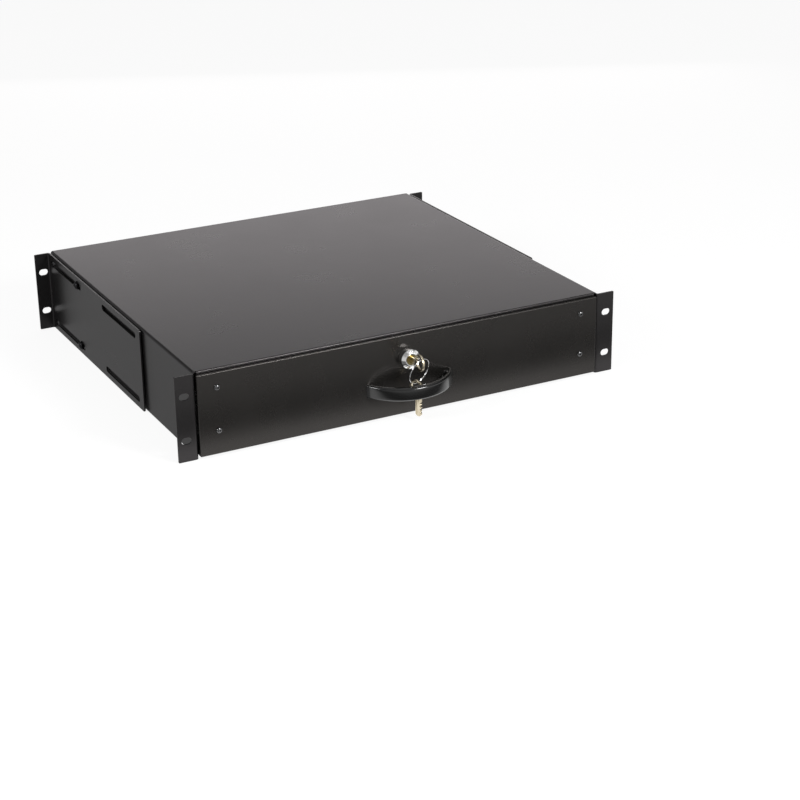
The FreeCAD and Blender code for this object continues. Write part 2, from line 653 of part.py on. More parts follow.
def cage_and_balls(name, web, half, offset, rise, start):
    """A pressed ball cage and its two rows of balls."""
    inner_x = "%s + cage_flange_reach" % web
    body = profile_body(name + "_channel", channel(inner_x, web, half, "cage_sheet"), [],
                        start, "cage_length")
    window = "ball_radius + cage_window_play"
    seats = []
    balls = []
    for step in range(int(number("ball_count"))):
        along_y = "%s + cage_margin + %d * ball_pitch" % (start, step)
        for level, sign in LEVELS:
            seats.append(box("%s_window_%s_%d" % (name, level, step),
                             (from_side(offset + " + " + window), from_side(offset + " - (%s)" % window)),
                             ("%s - (%s)" % (along_y, window), "%s + %s" % (along_y, window)),
                             ("%s(%s) - 1" % (sign, rise), "%s(%s) + 1" % (sign, rise))))
            balls.append(ball("%s_ball_%s_%d" % (name, level, step),
                              (from_side(offset), along_y, "%s(%s)" % (sign, rise))))
    pair(name, cut(name + "_pierced", body, *seats))
    pair(name.replace("cage", "balls"), together(name + "_ball_set", *balls))


cage_and_balls("outer_cage", "slide_steel + cage_play", "outer_ball_rise + cage_sheet / 2",
               "outer_ball_offset", "outer_ball_rise", "outer_cage_start")
cage_and_balls("inner_cage", "middle_offset + slide_steel + cage_play",
               "inner_ball_rise + cage_sheet / 2",
               "inner_ball_offset", "inner_ball_rise", "inner_cage_start")

# ---------------------------------------------------------------------------
# Rear mounting brackets that slide along the casing
# ---------------------------------------------------------------------------
bend_y = "casing_depth - bracket_bend"
bracket_flat = "bracket_inside + bracket_bend"
side_plate = box("bracket_side", ("bracket_inside", "bracket_outside"), ("bracket_front", bend_y),
                 ear_z)
side_plate = rounded("bracket_side_rounded", side_plate, "bracket_corner",
                     lambda edge, middle: along(edge, X_AXIS) and near(middle.y, "bracket_front"))
ear_back = box("bracket_ear", (bracket_flat, "ear_span / 2"),
               ("casing_depth - bracket_sheet", "casing_depth"), ear_z)
ear_back = rounded("bracket_ear_rounded", ear_back, "ear_corner",
                   lambda edge, middle: along(edge, Y_AXIS) and near(middle.x, "ear_span / 2"))
fold = bend("bracket_fold", (bracket_flat, bend_y), "bracket_bend", "bracket_sheet",
            ("bracket_inside", bracket_flat), (bend_y, "casing_depth"), ear_z)
openings = ear_slots("bracket_ear_slot", "", "casing_depth - bracket_sheet - 1", "casing_depth + 1")
for place_name in ("front_slot_middle", "rear_slot_middle"):
    for level, rise in LEVELS:
        openings.append(slot_cutter("%s_%s" % (place_name, level), "x", "y",
                                    {"y": place_name, "z": "%sbracket_slot_height" % rise},
                                    "bracket_slot_length", "bracket_slot_width",
                                    "bracket_inside - 1", "bracket_outside + 1"))
pair("bracket", cut("bracket_slotted", join("bracket_sheet_metal", side_plate, ear_back, fold),
                    *openings))

screws, washers, spacers, nuts = [], [], [], []
for level, rise in LEVELS:
    at = ("bracket_screw_place", "%sbracket_slot_height" % rise)
    bore = rod("bracket_bore_" + level, "x", "large_screw_radius + screw_play",
               ("casing_inside - large_nut_depth - 1", at[0], at[1]),
               "bracket_outside + 10 - casing_inside + large_nut_depth")
    washer_x = "bracket_outside"
    head_x = "bracket_outside + washer_depth"
    shank = rod("bracket_screw_shank_" + level, "x", "large_screw_radius",
                ("casing_inside - large_nut_depth - 0.5", at[0], at[1]),
                "%s - casing_inside + large_nut_depth + 1" % head_x)
    head = rod("bracket_screw_head_" + level, "x", "large_head_radius", (head_x, at[0], at[1]),
               "large_head_depth")
    screws.append(join("bracket_screw_" + level, shank, head))
    washers.append(cut("bracket_washer_" + level,
                       rod("bracket_washer_disc_" + level, "x", "washer_radius",
                           (washer_x, at[0], at[1]), "washer_depth"), bore))
    spacers.append(cut("bracket_spacer_" + level,
                       rod("bracket_spacer_rod_" + level, "x", "spacer_radius",
                           ("casing_half", at[0], at[1]), "bracket_gap"), bore))
    nuts.append(cut("bracket_nut_" + level,
                    hexagon("bracket_nut_hex_" + level, "x", "large_nut_width",
                            ("casing_inside - large_nut_depth", at[0], at[1]), "large_nut_depth"),
                    bore))
for name, things in (("screws", screws), ("washers", washers), ("spacers", spacers), ("nuts", nuts)):
    right_set = together("right_bracket_" + name, *things)
    node("bracket_" + name, together("bracket_%s_set" % name, right_set,
                                     mirrored("left_bracket_" + name, right_set)))

# ---------------------------------------------------------------------------
# Drawer tray: floor, four walls and inward rims
# ---------------------------------------------------------------------------
tray = box("tray_block", ("-tray_half", "tray_half"), ("front_back", "tray_back"),
           ("-tray_floor", "tray_front_rim"))
tray = rounded("tray_outer_bends", tray, "tray_bend",
               lambda edge, middle: (along(edge, Y_AXIS) and near(middle.z, "-tray_floor"))
               or (along(edge, X_AXIS) and near(middle.y, "tray_back") and middle.z < 0))
hollow = box("tray_hollow", ("-tray_half + tray_sheet", "tray_half - tray_sheet"),
             ("wall_back", "tray_back - tray_sheet"), ("-tray_floor + tray_sheet", "tray_front_rim + 5"))
hollow = rounded("tray_inner_bends", hollow, "tray_bend - tray_sheet",
                 lambda edge, middle: (along(edge, Y_AXIS) and middle.z < 0)
                 or (along(edge, X_AXIS) and middle.z < 0
                     and near(middle.y, "tray_back - tray_sheet")))
tray = cut("tray_walls", tray, hollow,
           box("tray_above", ("-tray_half - 1", "tray_half + 1"), ("wall_back", "tray_back + 1"),
               ("tray_rim", "tray_front_rim + 6")))
rim_z = ("tray_rim - tray_sheet", "tray_rim")
rim = cut("tray_rims",
          box("tray_rim_plate", ("-tray_half", "tray_half"), ("rim_start", "tray_back"), rim_z),
          box("tray_rim_opening", ("-tray_half + rim_width", "tray_half - rim_width"),
              ("rim_start - 1", "tray_back - rim_width"), ("tray_rim - 3", "tray_rim + 1")))
tray = join("tray_with_rims", tray, rim)
tray_holes = []
for side, sign in SIDES:
    for step, screw_place in enumerate(tray_screw_places):
        tray_holes.append(rod("tray_side_hole_%s_%d" % (side, step), "x",
                              "small_screw_radius + screw_play",
                              ("%s(tray_half - tray_sheet / 2) - 2" % sign, screw_place, "0"), "4"))
front_holes = []
front_screw_spots = []
for side, sign in SIDES:
    for level, height in (("upper", "front_screw_high"), ("lower", "-front_screw_low")):
        spot = ("%sfront_screw_place" % sign, height)
        front_screw_spots.append(("%s_%s" % (side, level), spot))
        front_holes.append(rod("front_screw_hole_%s_%s" % (side, level), "y",
                               "small_screw_radius + screw_play",
                               (spot[0], "-front_proud - 1", spot[1]), "10"))
handle_spots = []
for side, sign in SIDES:
    spot = ("handle_shift + %s1 * handle_foot_place" % sign, "-handle_middle")
    handle_spots.append((side, spot))
    front_holes.append(rod("handle_screw_hole_" + side, "y", "large_screw_radius + screw_play",
                           (spot[0], "-front_proud - 1", spot[1]), "10"))


def double_flat(name, radius, half, start, length):
    """A round bar along Y with two flat sides."""
    bar = rod(name + "_round", "y", radius, ("0", start, "lock_height"), length)
    width = box(name + "_width", ("-(%s)" % half, half), (start, "%s + %s" % (start, length)),
                ("lock_height - 20", "lock_height + 20"))
    return common(name, bar, width)


lock_opening = double_flat("lock_opening", "lock_barrel_radius + screw_play", "lock_flat + screw_play",
                           "-front_proud - 1", "10")
node("drawer_tray", cut("tray_drilled", tray, lock_opening, *(tray_holes + front_holes)))

# Drawer front: a shallow cap over the tray's front wall
face = box("front_block", ("-front_half", "front_half"),
           ("-front_proud", "front_back + front_return"), ("-front_bottom", "front_top"))
face = rounded("front_corners", face, "front_bend",
               lambda edge, middle: near(middle.y, "-front_proud") or along(edge, Y_AXIS))
face = cut("front_cap", face,
           box("front_space", ("-front_half + front_sheet", "front_half - front_sheet"),
               ("front_back", "front_back + front_return + 1"),
               ("-front_bottom + front_sheet", "front_top - front_sheet")))
node("drawer_front", cut("front_drilled", face, lock_opening, *front_holes))

screws, nuts = [], []
for name, (x, z) in front_screw_spots:
    bore = rod("front_bore_" + name, "y", "small_screw_radius + screw_play", (x, "wall_back - 1", z),
               "small_nut_depth + 3")
    shank = rod("front_screw_shank_" + name, "y", "small_screw_radius", (x, "-front_proud", z),
                "wall_back + front_proud + small_nut_depth + 0.5")
    rim = rod("front_screw_rim_" + name, "y", "small_head_radius",
              (x, "-front_proud - small_head_depth + small_head_bevel", z),
              "small_head_depth - small_head_bevel")
    crown = doc.addObject("Part::Cone", "front_screw_crown_" + name)
    bind(crown, "Radius1", "small_head_radius - small_head_bevel")
    bind(crown, "Radius2", "small_head_radius")
    bind(crown, "Height", "small_head_bevel")
    place(crown, (x, "-front_proud - small_head_depth", z), TURNS["y"])
    screws.append(join("front_screw_" + name, shank, rim, crown))
    nuts.append(cut("front_nut_" + name,
                    hexagon("front_nut_hex_" + name, "y", "small_nut_width", (x, "wall_back", z),
                            "small_nut_depth"), bore))
node("front_screws", together("front_screw_set", *screws))
node("front_screw_nuts", together("front_nut_set", *nuts))

# ---------------------------------------------------------------------------
# Pull handle: a crescent in plan, with a foot at each end
# ---------------------------------------------------------------------------
handle_z = ("handle_bottom", "handle_top")
crescent = cut(
    "handle_crescent",
    rod("handle_outside", "z", "handle_radius", ("handle_shift", "handle_centre", "handle_bottom"),
        "handle_height"),
    rod("handle_hollow", "z", "handle_hollow_radius",
        ("handle_shift", "hollow_centre", "handle_bottom - 1"),
        "handle_height + 2"),
    box("handle_behind", ("-handle_radius * 2", "handle_radius * 2"),
        ("-front_proud", "handle_radius * 3"), ("handle_bottom - 1", "handle_top + 1")),
)
doc.recompute()
bevelled = [(index, number("handle_edge"), number("handle_edge"))
            for index, edge in enumerate(crescent.Shape.Edges, start=1)
            if isinstance(edge.Curve, Part.Circle)]
grip = doc.addObject("Part::Chamfer", "handle_bevelled")
grip.Base = crescent
grip.Edges = bevelled
feet = []
foot_bores = []
for side, (x, z) in handle_spots:
    foot = rod("handle_foot_" + side, "y", "handle_foot_radius",
               (x, "-front_proud - handle_foot_depth", z), "handle_foot_depth")
    feet.append(foot)
    foot_bores.append(rod("handle_foot_bore_" + side, "y", "large_screw_radius + screw_play",
                          (x, "-front_proud - handle_foot_depth + 0.6", z), "handle_foot_depth"))
node("handle", cut("handle_bored", join("handle_with_feet", grip, *feet), *foot_bores))
screws = []
for side, (x, z) in handle_spots:
    screws.append(join("handle_screw_" + side,
                       rod("handle_screw_shank_" + side, "y", "large_screw_radius",
                           (x, "-front_proud - handle_foot_depth + 1.2", z),
                           "handle_foot_depth - 1 + front_proud + wall_back"),
                       rod("handle_screw_head_" + side, "y", "large_head_radius", (x, "wall_back", z),
                           "large_head_depth")))
node("handle_screws", together("handle_screw_set", *screws))

# ---------------------------------------------------------------------------
# Cam lock
# ---------------------------------------------------------------------------
head = rod("lock_head_rim", "y", "lock_head_radius", ("0", "lock_face + lock_bevel_depth", "lock_height"),
           "lock_head_depth - lock_bevel_depth")
bevel = doc.addObject("Part::Cone", "lock_bevel")
bind(bevel, "Radius1", "lock_face_radius")
bind(bevel, "Radius2", "lock_head_radius")
bind(bevel, "Height", "lock_bevel_depth")
place(bevel, ("0", "lock_face", "lock_height"), TURNS["y"])
barrel = double_flat("lock_body", "lock_barrel_radius", "lock_flat", "-front_proud", "lock_barrel_length")
plug_bore = rod("plug_bore", "y", "plug_radius + plug_play", ("0", "lock_face - 1", "lock_height"),
                "lock_head_depth + lock_barrel_length + 2")
node("lock_barrel", cut("lock_bored", join("lock_solid", head, bevel, barrel), plug_bore))
nut_hole = double_flat("lock_nut_hole", "lock_barrel_radius + screw_play", "lock_flat + screw_play",
                       "wall_back - 1", "lock_nut_depth + 2")
node("lock_nut", cut("lock_nut_bored",
                     hexagon("lock_nut_hex", "y", "lock_nut_width", ("0", "wall_back", "lock_height"),
                             "lock_nut_depth"), nut_hole))

square_half = "plug_square / 2"
plug = rod("plug_round", "y", "plug_radius", ("0", "lock_face + 0.2", "lock_height"),
           "barrel_end + 0.1 - lock_face - 0.2")
stub = box("plug_stub_block", ("-%s" % square_half, square_half),
           ("barrel_end", "cam_front + cam_sheet - 0.1"),
           ("lock_height - %s" % square_half, "lock_height + %s" % square_half))
thread = rod("plug_thread", "y", "plug_thread_radius", ("0", "barrel_end", "lock_height"),
             "cam_front + cam_sheet + plug_thread_length - barrel_end")
key_slot = box("key_slot", ("-key_thickness / 2 - key_slot_play", "key_thickness / 2 + key_slot_play"),
               ("lock_face - 1", "key_shoulder + key_blade_length + 0.3"),
               ("lock_height - key_blade_width / 2 - key_slot_play",
                "lock_height + key_blade_width / 2 + key_slot_play"))
node("lock_plug", cut("plug_slotted", join("plug_solid", plug, stub, thread), key_slot))

cam = join(
    "cam_plate",
    rod("cam_hub", "y", "cam_width / 2", ("0", "cam_front", "lock_height"), "cam_sheet"),
    box("cam_arm", ("0", "cam_length"), ("cam_front", "cam_front + cam_sheet"),
        ("lock_height - cam_width / 2", "lock_height + cam_width / 2")),
)
cam = rounded("cam_rounded", cam, "bracket_corner",
              lambda edge, middle: along(edge, Y_AXIS) and near(middle.x, "cam_length"))
square_hole = box("cam_square", ("-%s - screw_play" % square_half, "%s + screw_play" % square_half),
                  ("cam_front - 1", "cam_front + cam_sheet + 1"),
                  ("lock_height - %s - screw_play" % square_half,
                   "lock_height + %s + screw_play" % square_half))
node("lock_cam", cut("cam_pierced", cam, square_hole))
node("cam_nut", cut("cam_nut_bored",
                    hexagon("cam_nut_hex", "y", "cam_nut_width",
                            ("0", "cam_front + cam_sheet", "lock_height"), "cam_nut_depth"),
                    rod("cam_nut_bore", "y", "plug_thread_radius + screw_play",
                        ("0", "cam_front", "lock_height"), "cam_sheet + cam_nut_depth + 2")))


# ---------------------------------------------------------------------------
# Keys and key ring
# ---------------------------------------------------------------------------
def key_body(name):
    """A flat key in the plane of Y and Z, blade toward +Y, its axis through the origin."""
    body = doc.addObject("PartDesign::Body", name)
    half = "key_blade_width / 2"
    neck = "key_neck_width / 2"
    tip = "key_shoulder + key_blade_length"
    corners = [("key_shoulder - key_neck_length", "-" + neck), ("key_shoulder", "-" + neck),
               ("key_shoulder", "-" + half)]
    for step in range(4):
        start = "key_shoulder + key_cut_first + %d * key_cut_pitch" % step
        depth = "key_cut_depth * %s" % (1, 2, 1.5, 1)[step]
        corners.append((start, "-" + half))
        corners.append(("%s + key_cut_depth" % start, "-%s + %s" % (half, depth)))
        corners.append(("%s + key_cut_width" % start, "-%s + %s" % (half, depth)))
        corners.append(("%s + key_cut_width + key_cut_depth" % start, "-" + half))
    corners += [("%s - key_point" % tip, "-" + half), (tip, "-%s + key_point" % half),
                (tip, "%s - key_point" % half), ("%s - key_point" % tip, half),
                ("key_shoulder", half), ("key_shoulder", neck),
                ("key_shoulder - key_neck_length", neck)]
    blade = new_sketch(body, "YZ_Plane", name + "_blade")
    outline(blade, corners)
    pad(body, blade, name + "_blade_pad", "key_thickness", middle=True)
    bow = new_sketch(body, "YZ_Plane", name + "_bow")
    circle(bow, "bow_centre", "key_bow_rise", "key_bow_radius")
    pad(body, bow, name + "_bow_pad", "key_thickness", middle=True)
    eye = new_sketch(body, "YZ_Plane", name + "_eye")
    circle(eye, "hole_centre", "key_bow_rise", "key_hole_radius")
    pocket(body, eye, name + "_eye_cut", "key_thickness + 1", middle=True)
    return body


key = key_body("key_in_lock")
bind(key, "Placement.Base.z", "lock_height")
node("key", key)

spare = key_body("key_on_ring")
spare.Placement = FreeCAD.Placement(
    Vector(), Rotation(Z_AXIS, number("ring_yaw")) * Rotation(X_AXIS, -90))
place(spare, ("spare_side", "spare_place", "spare_height"))
node("spare_key", spare)

ring_turn = Rotation(Z_AXIS, number("ring_yaw")) * Rotation(X_AXIS, number("ring_lean") - 90)
ring_wall = rod("ring_outside", "z", "ring_radius + wire_half", ("0", "0", "-wire_half"),
                "2 * wire_half")
ring_eye = rod("ring_inside", "z", "ring_radius - wire_half", ("0", "0", "-wire_half - 1"),
               "2 * wire_half + 2")
ring = cut("ring_band", ring_wall, ring_eye)
ring.Placement = FreeCAD.Placement(Vector(), ring_turn)
place(ring, ("ring_side", "ring_middle_y", "ring_middle_z"))
node("key_ring", ring)

# ---------------------------------------------------------------------------
# Checks, then one file for each piece
# ---------------------------------------------------------------------------
doc.recompute()
for thing in doc.Objects:
    if "Invalid" in thing.State or "Error" in thing.State:
        raise RuntimeError("%s: %s" % (thing.Name, thing.State))
for name, thing in nodes:
    if thing.Shape.isNull() or not thing.Shape.isValid() or not thing.Shape.Solids:
        raise RuntimeError("no valid solid in " + name)
os.makedirs("parts", exist_ok=True)
for name, thing in nodes:
    thing.Shape.exportStep("parts/%s.step" % name)
    print("%-22s solids %2d volume %10.1f" % (name, len(thing.Shape.Solids), thing.Shape.Volume))
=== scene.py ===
"""Looks for the sliding rack drawer: finishes on the CAD pieces, machined details, camera and studio.

Units are metres, in the CAD frame: +X right, +Y to the rear, +Z up, origin at the middle of the
four front ear slots, in the front plane of the ears.
"""

import json
import math

import bmesh
import bpy
from mathutils import Matrix, Vector


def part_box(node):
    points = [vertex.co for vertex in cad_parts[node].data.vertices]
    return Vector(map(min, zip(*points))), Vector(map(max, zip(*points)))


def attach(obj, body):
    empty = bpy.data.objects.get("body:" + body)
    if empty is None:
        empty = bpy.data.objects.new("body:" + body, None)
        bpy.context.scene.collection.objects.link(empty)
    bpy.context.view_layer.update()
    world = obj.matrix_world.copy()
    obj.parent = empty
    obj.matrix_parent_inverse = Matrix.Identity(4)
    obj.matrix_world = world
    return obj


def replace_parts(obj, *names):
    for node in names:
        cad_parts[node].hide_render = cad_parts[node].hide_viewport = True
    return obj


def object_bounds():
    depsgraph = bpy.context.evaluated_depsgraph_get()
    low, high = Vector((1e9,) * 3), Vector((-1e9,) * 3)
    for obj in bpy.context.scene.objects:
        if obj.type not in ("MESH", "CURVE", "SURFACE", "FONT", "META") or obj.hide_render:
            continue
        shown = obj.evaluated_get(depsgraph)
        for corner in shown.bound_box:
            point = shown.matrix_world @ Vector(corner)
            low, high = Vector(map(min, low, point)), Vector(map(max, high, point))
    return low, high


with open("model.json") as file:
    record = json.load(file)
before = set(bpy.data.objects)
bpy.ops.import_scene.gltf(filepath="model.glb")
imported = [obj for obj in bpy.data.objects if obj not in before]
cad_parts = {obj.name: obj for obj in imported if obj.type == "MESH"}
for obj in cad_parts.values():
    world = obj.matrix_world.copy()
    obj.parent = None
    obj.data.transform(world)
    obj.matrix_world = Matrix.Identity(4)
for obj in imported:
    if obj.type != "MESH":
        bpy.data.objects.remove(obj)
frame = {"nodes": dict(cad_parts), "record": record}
cad_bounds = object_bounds()
nodes = frame["nodes"]
MM = 0.001


# ---------------------------------------------------------------------------
# Materials
# ---------------------------------------------------------------------------
class Tree:
    """A node tree with short calls for the nodes that materials and the world share."""

    def __init__(self, tree):
        self.tree = tree

    def node(self, kind, **values):
        node = self.tree.nodes.new(kind)
        for key, value in values.items():
            setattr(node, key, value)
        return node

    def link(self, source, target):
        self.tree.links.new(source, target)

    def maths(self, operation, *values):
        """A maths node; each value is a number or another node's output."""
        node = self.node("ShaderNodeMath", operation=operation)
        for socket, value in zip(node.inputs, values):
            if isinstance(value, (int, float)):
                socket.default_value = value
            else:
                self.link(value, socket)
        return node.outputs[0]

    def fade(self, value, limits, start, end):
        """Goes smoothly from start to end while the value passes between its limits."""
        node = self.node("ShaderNodeMapRange", interpolation_type="SMOOTHSTEP")
        self.link(value, node.inputs["Value"])
        for name, number in zip(("From Min", "From Max", "To Min", "To Max"), (*limits, start, end)):
            node.inputs[name].default_value = number
        return node.outputs["Result"]

    def split(self, place):
        """The x, y and z of a vector output."""
        node = self.node("ShaderNodeSeparateXYZ")
        self.link(place, node.inputs[0])
        return node.outputs

    def mix(self, share, first, second):
        """A blend of two shaders."""
        node = self.node("ShaderNodeMixShader")
        for socket, source in zip(node.inputs, (share, first, second)):
            self.link(source, socket)
        return node.outputs[0]


class Graph(Tree):
    """A material with its own shader and object coordinates."""

    def __init__(self, name):
        self.material = bpy.data.materials.new(name)
        self.material.use_nodes = True
        super().__init__(self.material.node_tree)
        self.shader = self.tree.nodes["Principled BSDF"]
        self.place = self.node("ShaderNodeTexCoord").outputs["Object"]

    def stretched(self, scale):
        """Object coordinates scaled by a vector, for grain that runs one way."""
        mapping = self.node("ShaderNodeMapping")
        mapping.inputs["Scale"].default_value = scale
        self.link(self.place, mapping.inputs["Vector"])
        return mapping.outputs["Vector"]

    def noise(self, scale, detail, roughness, place=None):
        node = self.node("ShaderNodeTexNoise")
        node.inputs["Scale"].default_value = scale
        node.inputs["Detail"].default_value = detail
        node.inputs["Roughness"].default_value = roughness
        self.link(place or self.place, node.inputs["Vector"])
        return node.outputs["Fac"]

    def ramp(self, source, stops):
        """Maps a value through colour stops given as (place, grey or colour)."""
        node = self.node("ShaderNodeValToRGB")
        elements = node.color_ramp.elements
        while len(elements) < len(stops):
            elements.new(0.5)
        for element, (place, colour) in zip(elements, stops):
            if not isinstance(colour, tuple):
                colour = (colour, colour, colour)
            element.position = place
            element.color = (*colour, 1)
        self.link(source, node.inputs["Fac"])
        return node.outputs["Color"]

    def bump(self, source, strength, distance, normal=None):
        node = self.node("ShaderNodeBump")
        node.inputs["Strength"].default_value = strength
        node.inputs["Distance"].default_value = distance
        self.link(source, node.inputs["Height"])
        if normal is not None:
            self.link(normal, node.inputs["Normal"])
        return node.outputs["Normal"]

    def finish(self, colour=None, roughness=None, normal=None, **fixed):
        for name, source in (("Base Color", colour), ("Roughness", roughness), ("Normal", normal)):
            if source is not None:
                self.link(source, self.shader.inputs[name])
        for name, value in fixed.items():
            self.shader.inputs[name.replace("_", " ")].default_value = value
        return self.material


def powder_coat(name, dark, light, rough, tint):
    """Satin powder coat: near-black, with orange peel and a faint unevenness of sheen."""
    graph = Graph(name)
    cloud = graph.noise(scale=14, detail=5, roughness=0.6)
    speck = graph.noise(scale=900, detail=2, roughness=0.6)
    colour = graph.ramp(cloud, [(0.3, dark), (0.7, light)])
    roughness = graph.ramp(cloud, [(0.25, rough - 0.015), (0.75, rough + 0.02)])
    waves = graph.noise(scale=420, detail=3, roughness=0.5)
    peel = graph.bump(waves, strength=0.25, distance=0.12 * MM)
    grain = graph.bump(speck, strength=0.2, distance=0.06 * MM, normal=peel)
    return graph.finish(colour, roughness, grain, IOR=1.5, Specular_Tint=(*tint, 1))


def plated_steel(name, dark, light, rough, grain_scale=(60, 900, 60)):
    """Zinc or nickel plate over drawn steel: a directional grain and slight clouding."""
    graph = Graph(name)
    grain = graph.noise(scale=3, detail=6, roughness=0.65, place=graph.stretched(grain_scale))
    cloud = graph.noise(scale=55, detail=4, roughness=0.6)
    mixed = graph.maths("MULTIPLY_ADD", grain, 0.5, graph.maths("MULTIPLY", cloud, 0.5))
    colour = graph.ramp(mixed, [(0.3, dark), (0.7, light)])
    roughness = graph.ramp(mixed, [(0.3, rough + 0.08), (0.7, rough - 0.05)])
    normal = graph.bump(grain, strength=0.12, distance=0.04 * MM)
    return graph.finish(colour, roughness, normal, Metallic=1.0)


def polished(name, dark, light, rough):
    """Bright metal with faint handling marks."""
    graph = Graph(name)
    marks = graph.noise(scale=120, detail=6, roughness=0.7)
    colour = graph.ramp(marks, [(0.3, dark), (0.7, light)])
    roughness = graph.ramp(marks, [(0.35, rough), (0.75, rough + 0.1)])
    normal = graph.bump(marks, strength=0.04, distance=0.03 * MM)
    return graph.finish(colour, roughness, normal, Metallic=1.0)


def moulded_gloss(name, dark, light, rough):
    """Hard moulded plastic with a slight ripple under the gloss."""
    graph = Graph(name)
    ripple = graph.noise(scale=70, detail=3, roughness=0.5)
    fine = graph.noise(scale=1400, detail=2, roughness=0.5)
    colour = graph.ramp(ripple, [(0.3, dark), (0.7, light)])
    roughness = graph.ramp(fine, [(0.3, rough - 0.02), (0.7, rough + 0.05)])
    wavy = graph.bump(ripple, strength=0.06, distance=0.3 * MM)
    normal = graph.bump(fine, strength=0.05, distance=0.03 * MM, normal=wavy)
    return graph.finish(colour, roughness, normal, IOR=1.5, Coat_Weight=0.3, Coat_Roughness=0.08)


def rubber(name):
    """Dull black rubber with a gritty surface."""
    graph = Graph(name)
    grit = graph.noise(scale=1800, detail=3, roughness=0.6)
    colour = graph.ramp(grit, [(0.3, 0.018), (0.7, 0.035)])
    roughness = graph.ramp(grit, [(0.3, 0.7), (0.7, 0.85)])
    return graph.finish(colour, roughness, graph.bump(grit, strength=0.3, distance=0.08 * MM))


MATERIALS = {
    "powder_coat": powder_coat("powder_coat", (0.0068, 0.0066, 0.0067), (0.0088, 0.0086, 0.0087), 0.28,
                               (1.0, 0.94, 0.955)),
    "front_coat": powder_coat("front_coat", (0.0072, 0.0068, 0.0063), (0.0092, 0.0087, 0.0081), 0.27,
                              (1.0, 0.94, 0.9)),
    "zinc_hardware": plated_steel("zinc_hardware", (0.5, 0.51, 0.52), (0.68, 0.69, 0.7), 0.3),
    "zinc_steel": plated_steel("zinc_steel", (0.5, 0.51, 0.52), (0.64, 0.65, 0.66), 0.34),
    "black_hardware": plated_steel("black_hardware", (0.02, 0.02, 0.021), (0.045, 0.045, 0.048), 0.3),
    "front_screw_steel": polished("front_screw_steel", (0.1, 0.1, 0.102), (0.15, 0.15, 0.153), 0.12),
    "handle_gloss": moulded_gloss("handle_gloss", (0.003, 0.003, 0.003), (0.005, 0.005, 0.005), 0.15),
    "lock_chrome": polished("lock_chrome", (0.74, 0.74, 0.73), (0.86, 0.86, 0.85), 0.09),
    "plug_brass": polished("plug_brass", (0.24, 0.19, 0.07), (0.4, 0.33, 0.15), 0.2),
    "key_brass": polished("key_brass", (0.5, 0.43, 0.3), (0.74, 0.67, 0.53), 0.2),
    "ring_steel": polished("ring_steel", (0.7, 0.7, 0.7), (0.84, 0.84, 0.84), 0.1),
    "rail_steel": plated_steel("rail_steel", (0.5, 0.51, 0.51), (0.68, 0.69, 0.69), 0.28, (60, 8, 900)),
    "bumper_rubber": rubber("bumper_rubber"),
    "cage_steel": plated_steel("cage_steel", (0.42, 0.42, 0.41), (0.56, 0.56, 0.55), 0.36),
    "ball_steel": polished("ball_steel", (0.7, 0.7, 0.71), (0.82, 0.82, 0.83), 0.06),
}

slot_of = {entry["node"]: entry["material_slot"] for entry in frame["record"]["subparts"]}
for name, thing in nodes.items():
    thing.data.materials.clear()
    thing.data.materials.append(MATERIALS[slot_of[name]])


# ---------------------------------------------------------------------------
# Mesh tools for the detailed pieces
# ---------------------------------------------------------------------------
SHARP = math.radians(38)
MERGE = 1e-6
NEARLY_UPRIGHT = 0.1


def middle_of(name):
    """The middle of a node's box."""
    low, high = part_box(name)
    return (Vector(low) + Vector(high)) / 2


def add_piece(name, mesh, node, body):
    """Makes a smooth-shaded object from a mesh, with the node's finish, riding on a body."""
    edges = bmesh.new()
    edges.from_mesh(mesh)
    bmesh.ops.remove_doubles(edges, verts=edges.verts, dist=MERGE)
    bmesh.ops.recalc_face_normals(edges, faces=edges.faces)
    for edge in edges.edges:
        edge.smooth = edge.calc_face_angle(math.pi) < SHARP
    for face in edges.faces:
        face.smooth = True
    edges.to_mesh(mesh)
    edges.free()
    thing = bpy.data.objects.new(name, mesh)
    bpy.context.scene.collection.objects.link(thing)
    mesh.materials.clear()
    mesh.materials.append(MATERIALS[slot_of[node]])
    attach(thing, body)
    return thing


def mesh_from(parts):
    """One mesh from several (points, faces) lists."""
    points, faces = [], []
    for more_points, more_faces in parts:
        base = len(points)
        points += more_points
        faces += [tuple(index + base for index in face) for face in more_faces]
    mesh = bpy.data.meshes.new("piece")
    mesh.from_pydata(points, [], faces)
    return mesh


def frame_along(direction):
    """The direction at unit length, and two directions square to it."""
    along = Vector(direction).normalized()
    side = along.cross(Vector((0, 0, 1)))
    if side.length < NEARLY_UPRIGHT:
        side = along.cross(Vector((0, 1, 0)))
    side.normalize()
    return along, side, along.cross(side)


def turned(profile, start, direction, steps=64, shape=None):
    """A turned form: profile rows of (radius, distance), about an axis from start.

    shape(angle, radius, distance) may change a row's radius round the turn.
    """
    along, side, up = frame_along(direction)
    start = Vector(start)
    points, faces = [], []
    for radius, distance in profile:
        for step in range(steps):
            angle = 2 * math.pi * step / steps
            size = shape(angle, radius, distance) if shape else radius
            points.append(start + along * distance
                          + side * (size * math.cos(angle)) + up * (size * math.sin(angle)))
    for row in range(len(profile) - 1):
        for step in range(steps):
            after = (step + 1) % steps
            faces.append((row * steps + step, row * steps + after,
                          (row + 1) * steps + after, (row + 1) * steps + step))
    for row in (0, len(profile) - 1):
        if profile[row][0] > MERGE:
            faces.append(tuple(row * steps + step for step in range(steps)))
    return points, faces


def arc(centre, radius, start, end, steps=6):
    """Points of an arc in the profile's plane, angles in degrees."""
    points = []
    for step in range(steps + 1):
        angle = math.radians(start + (end - start) * step / steps)
        points.append((centre[0] + radius * math.cos(angle), centre[1] + radius * math.sin(angle)))
    return points


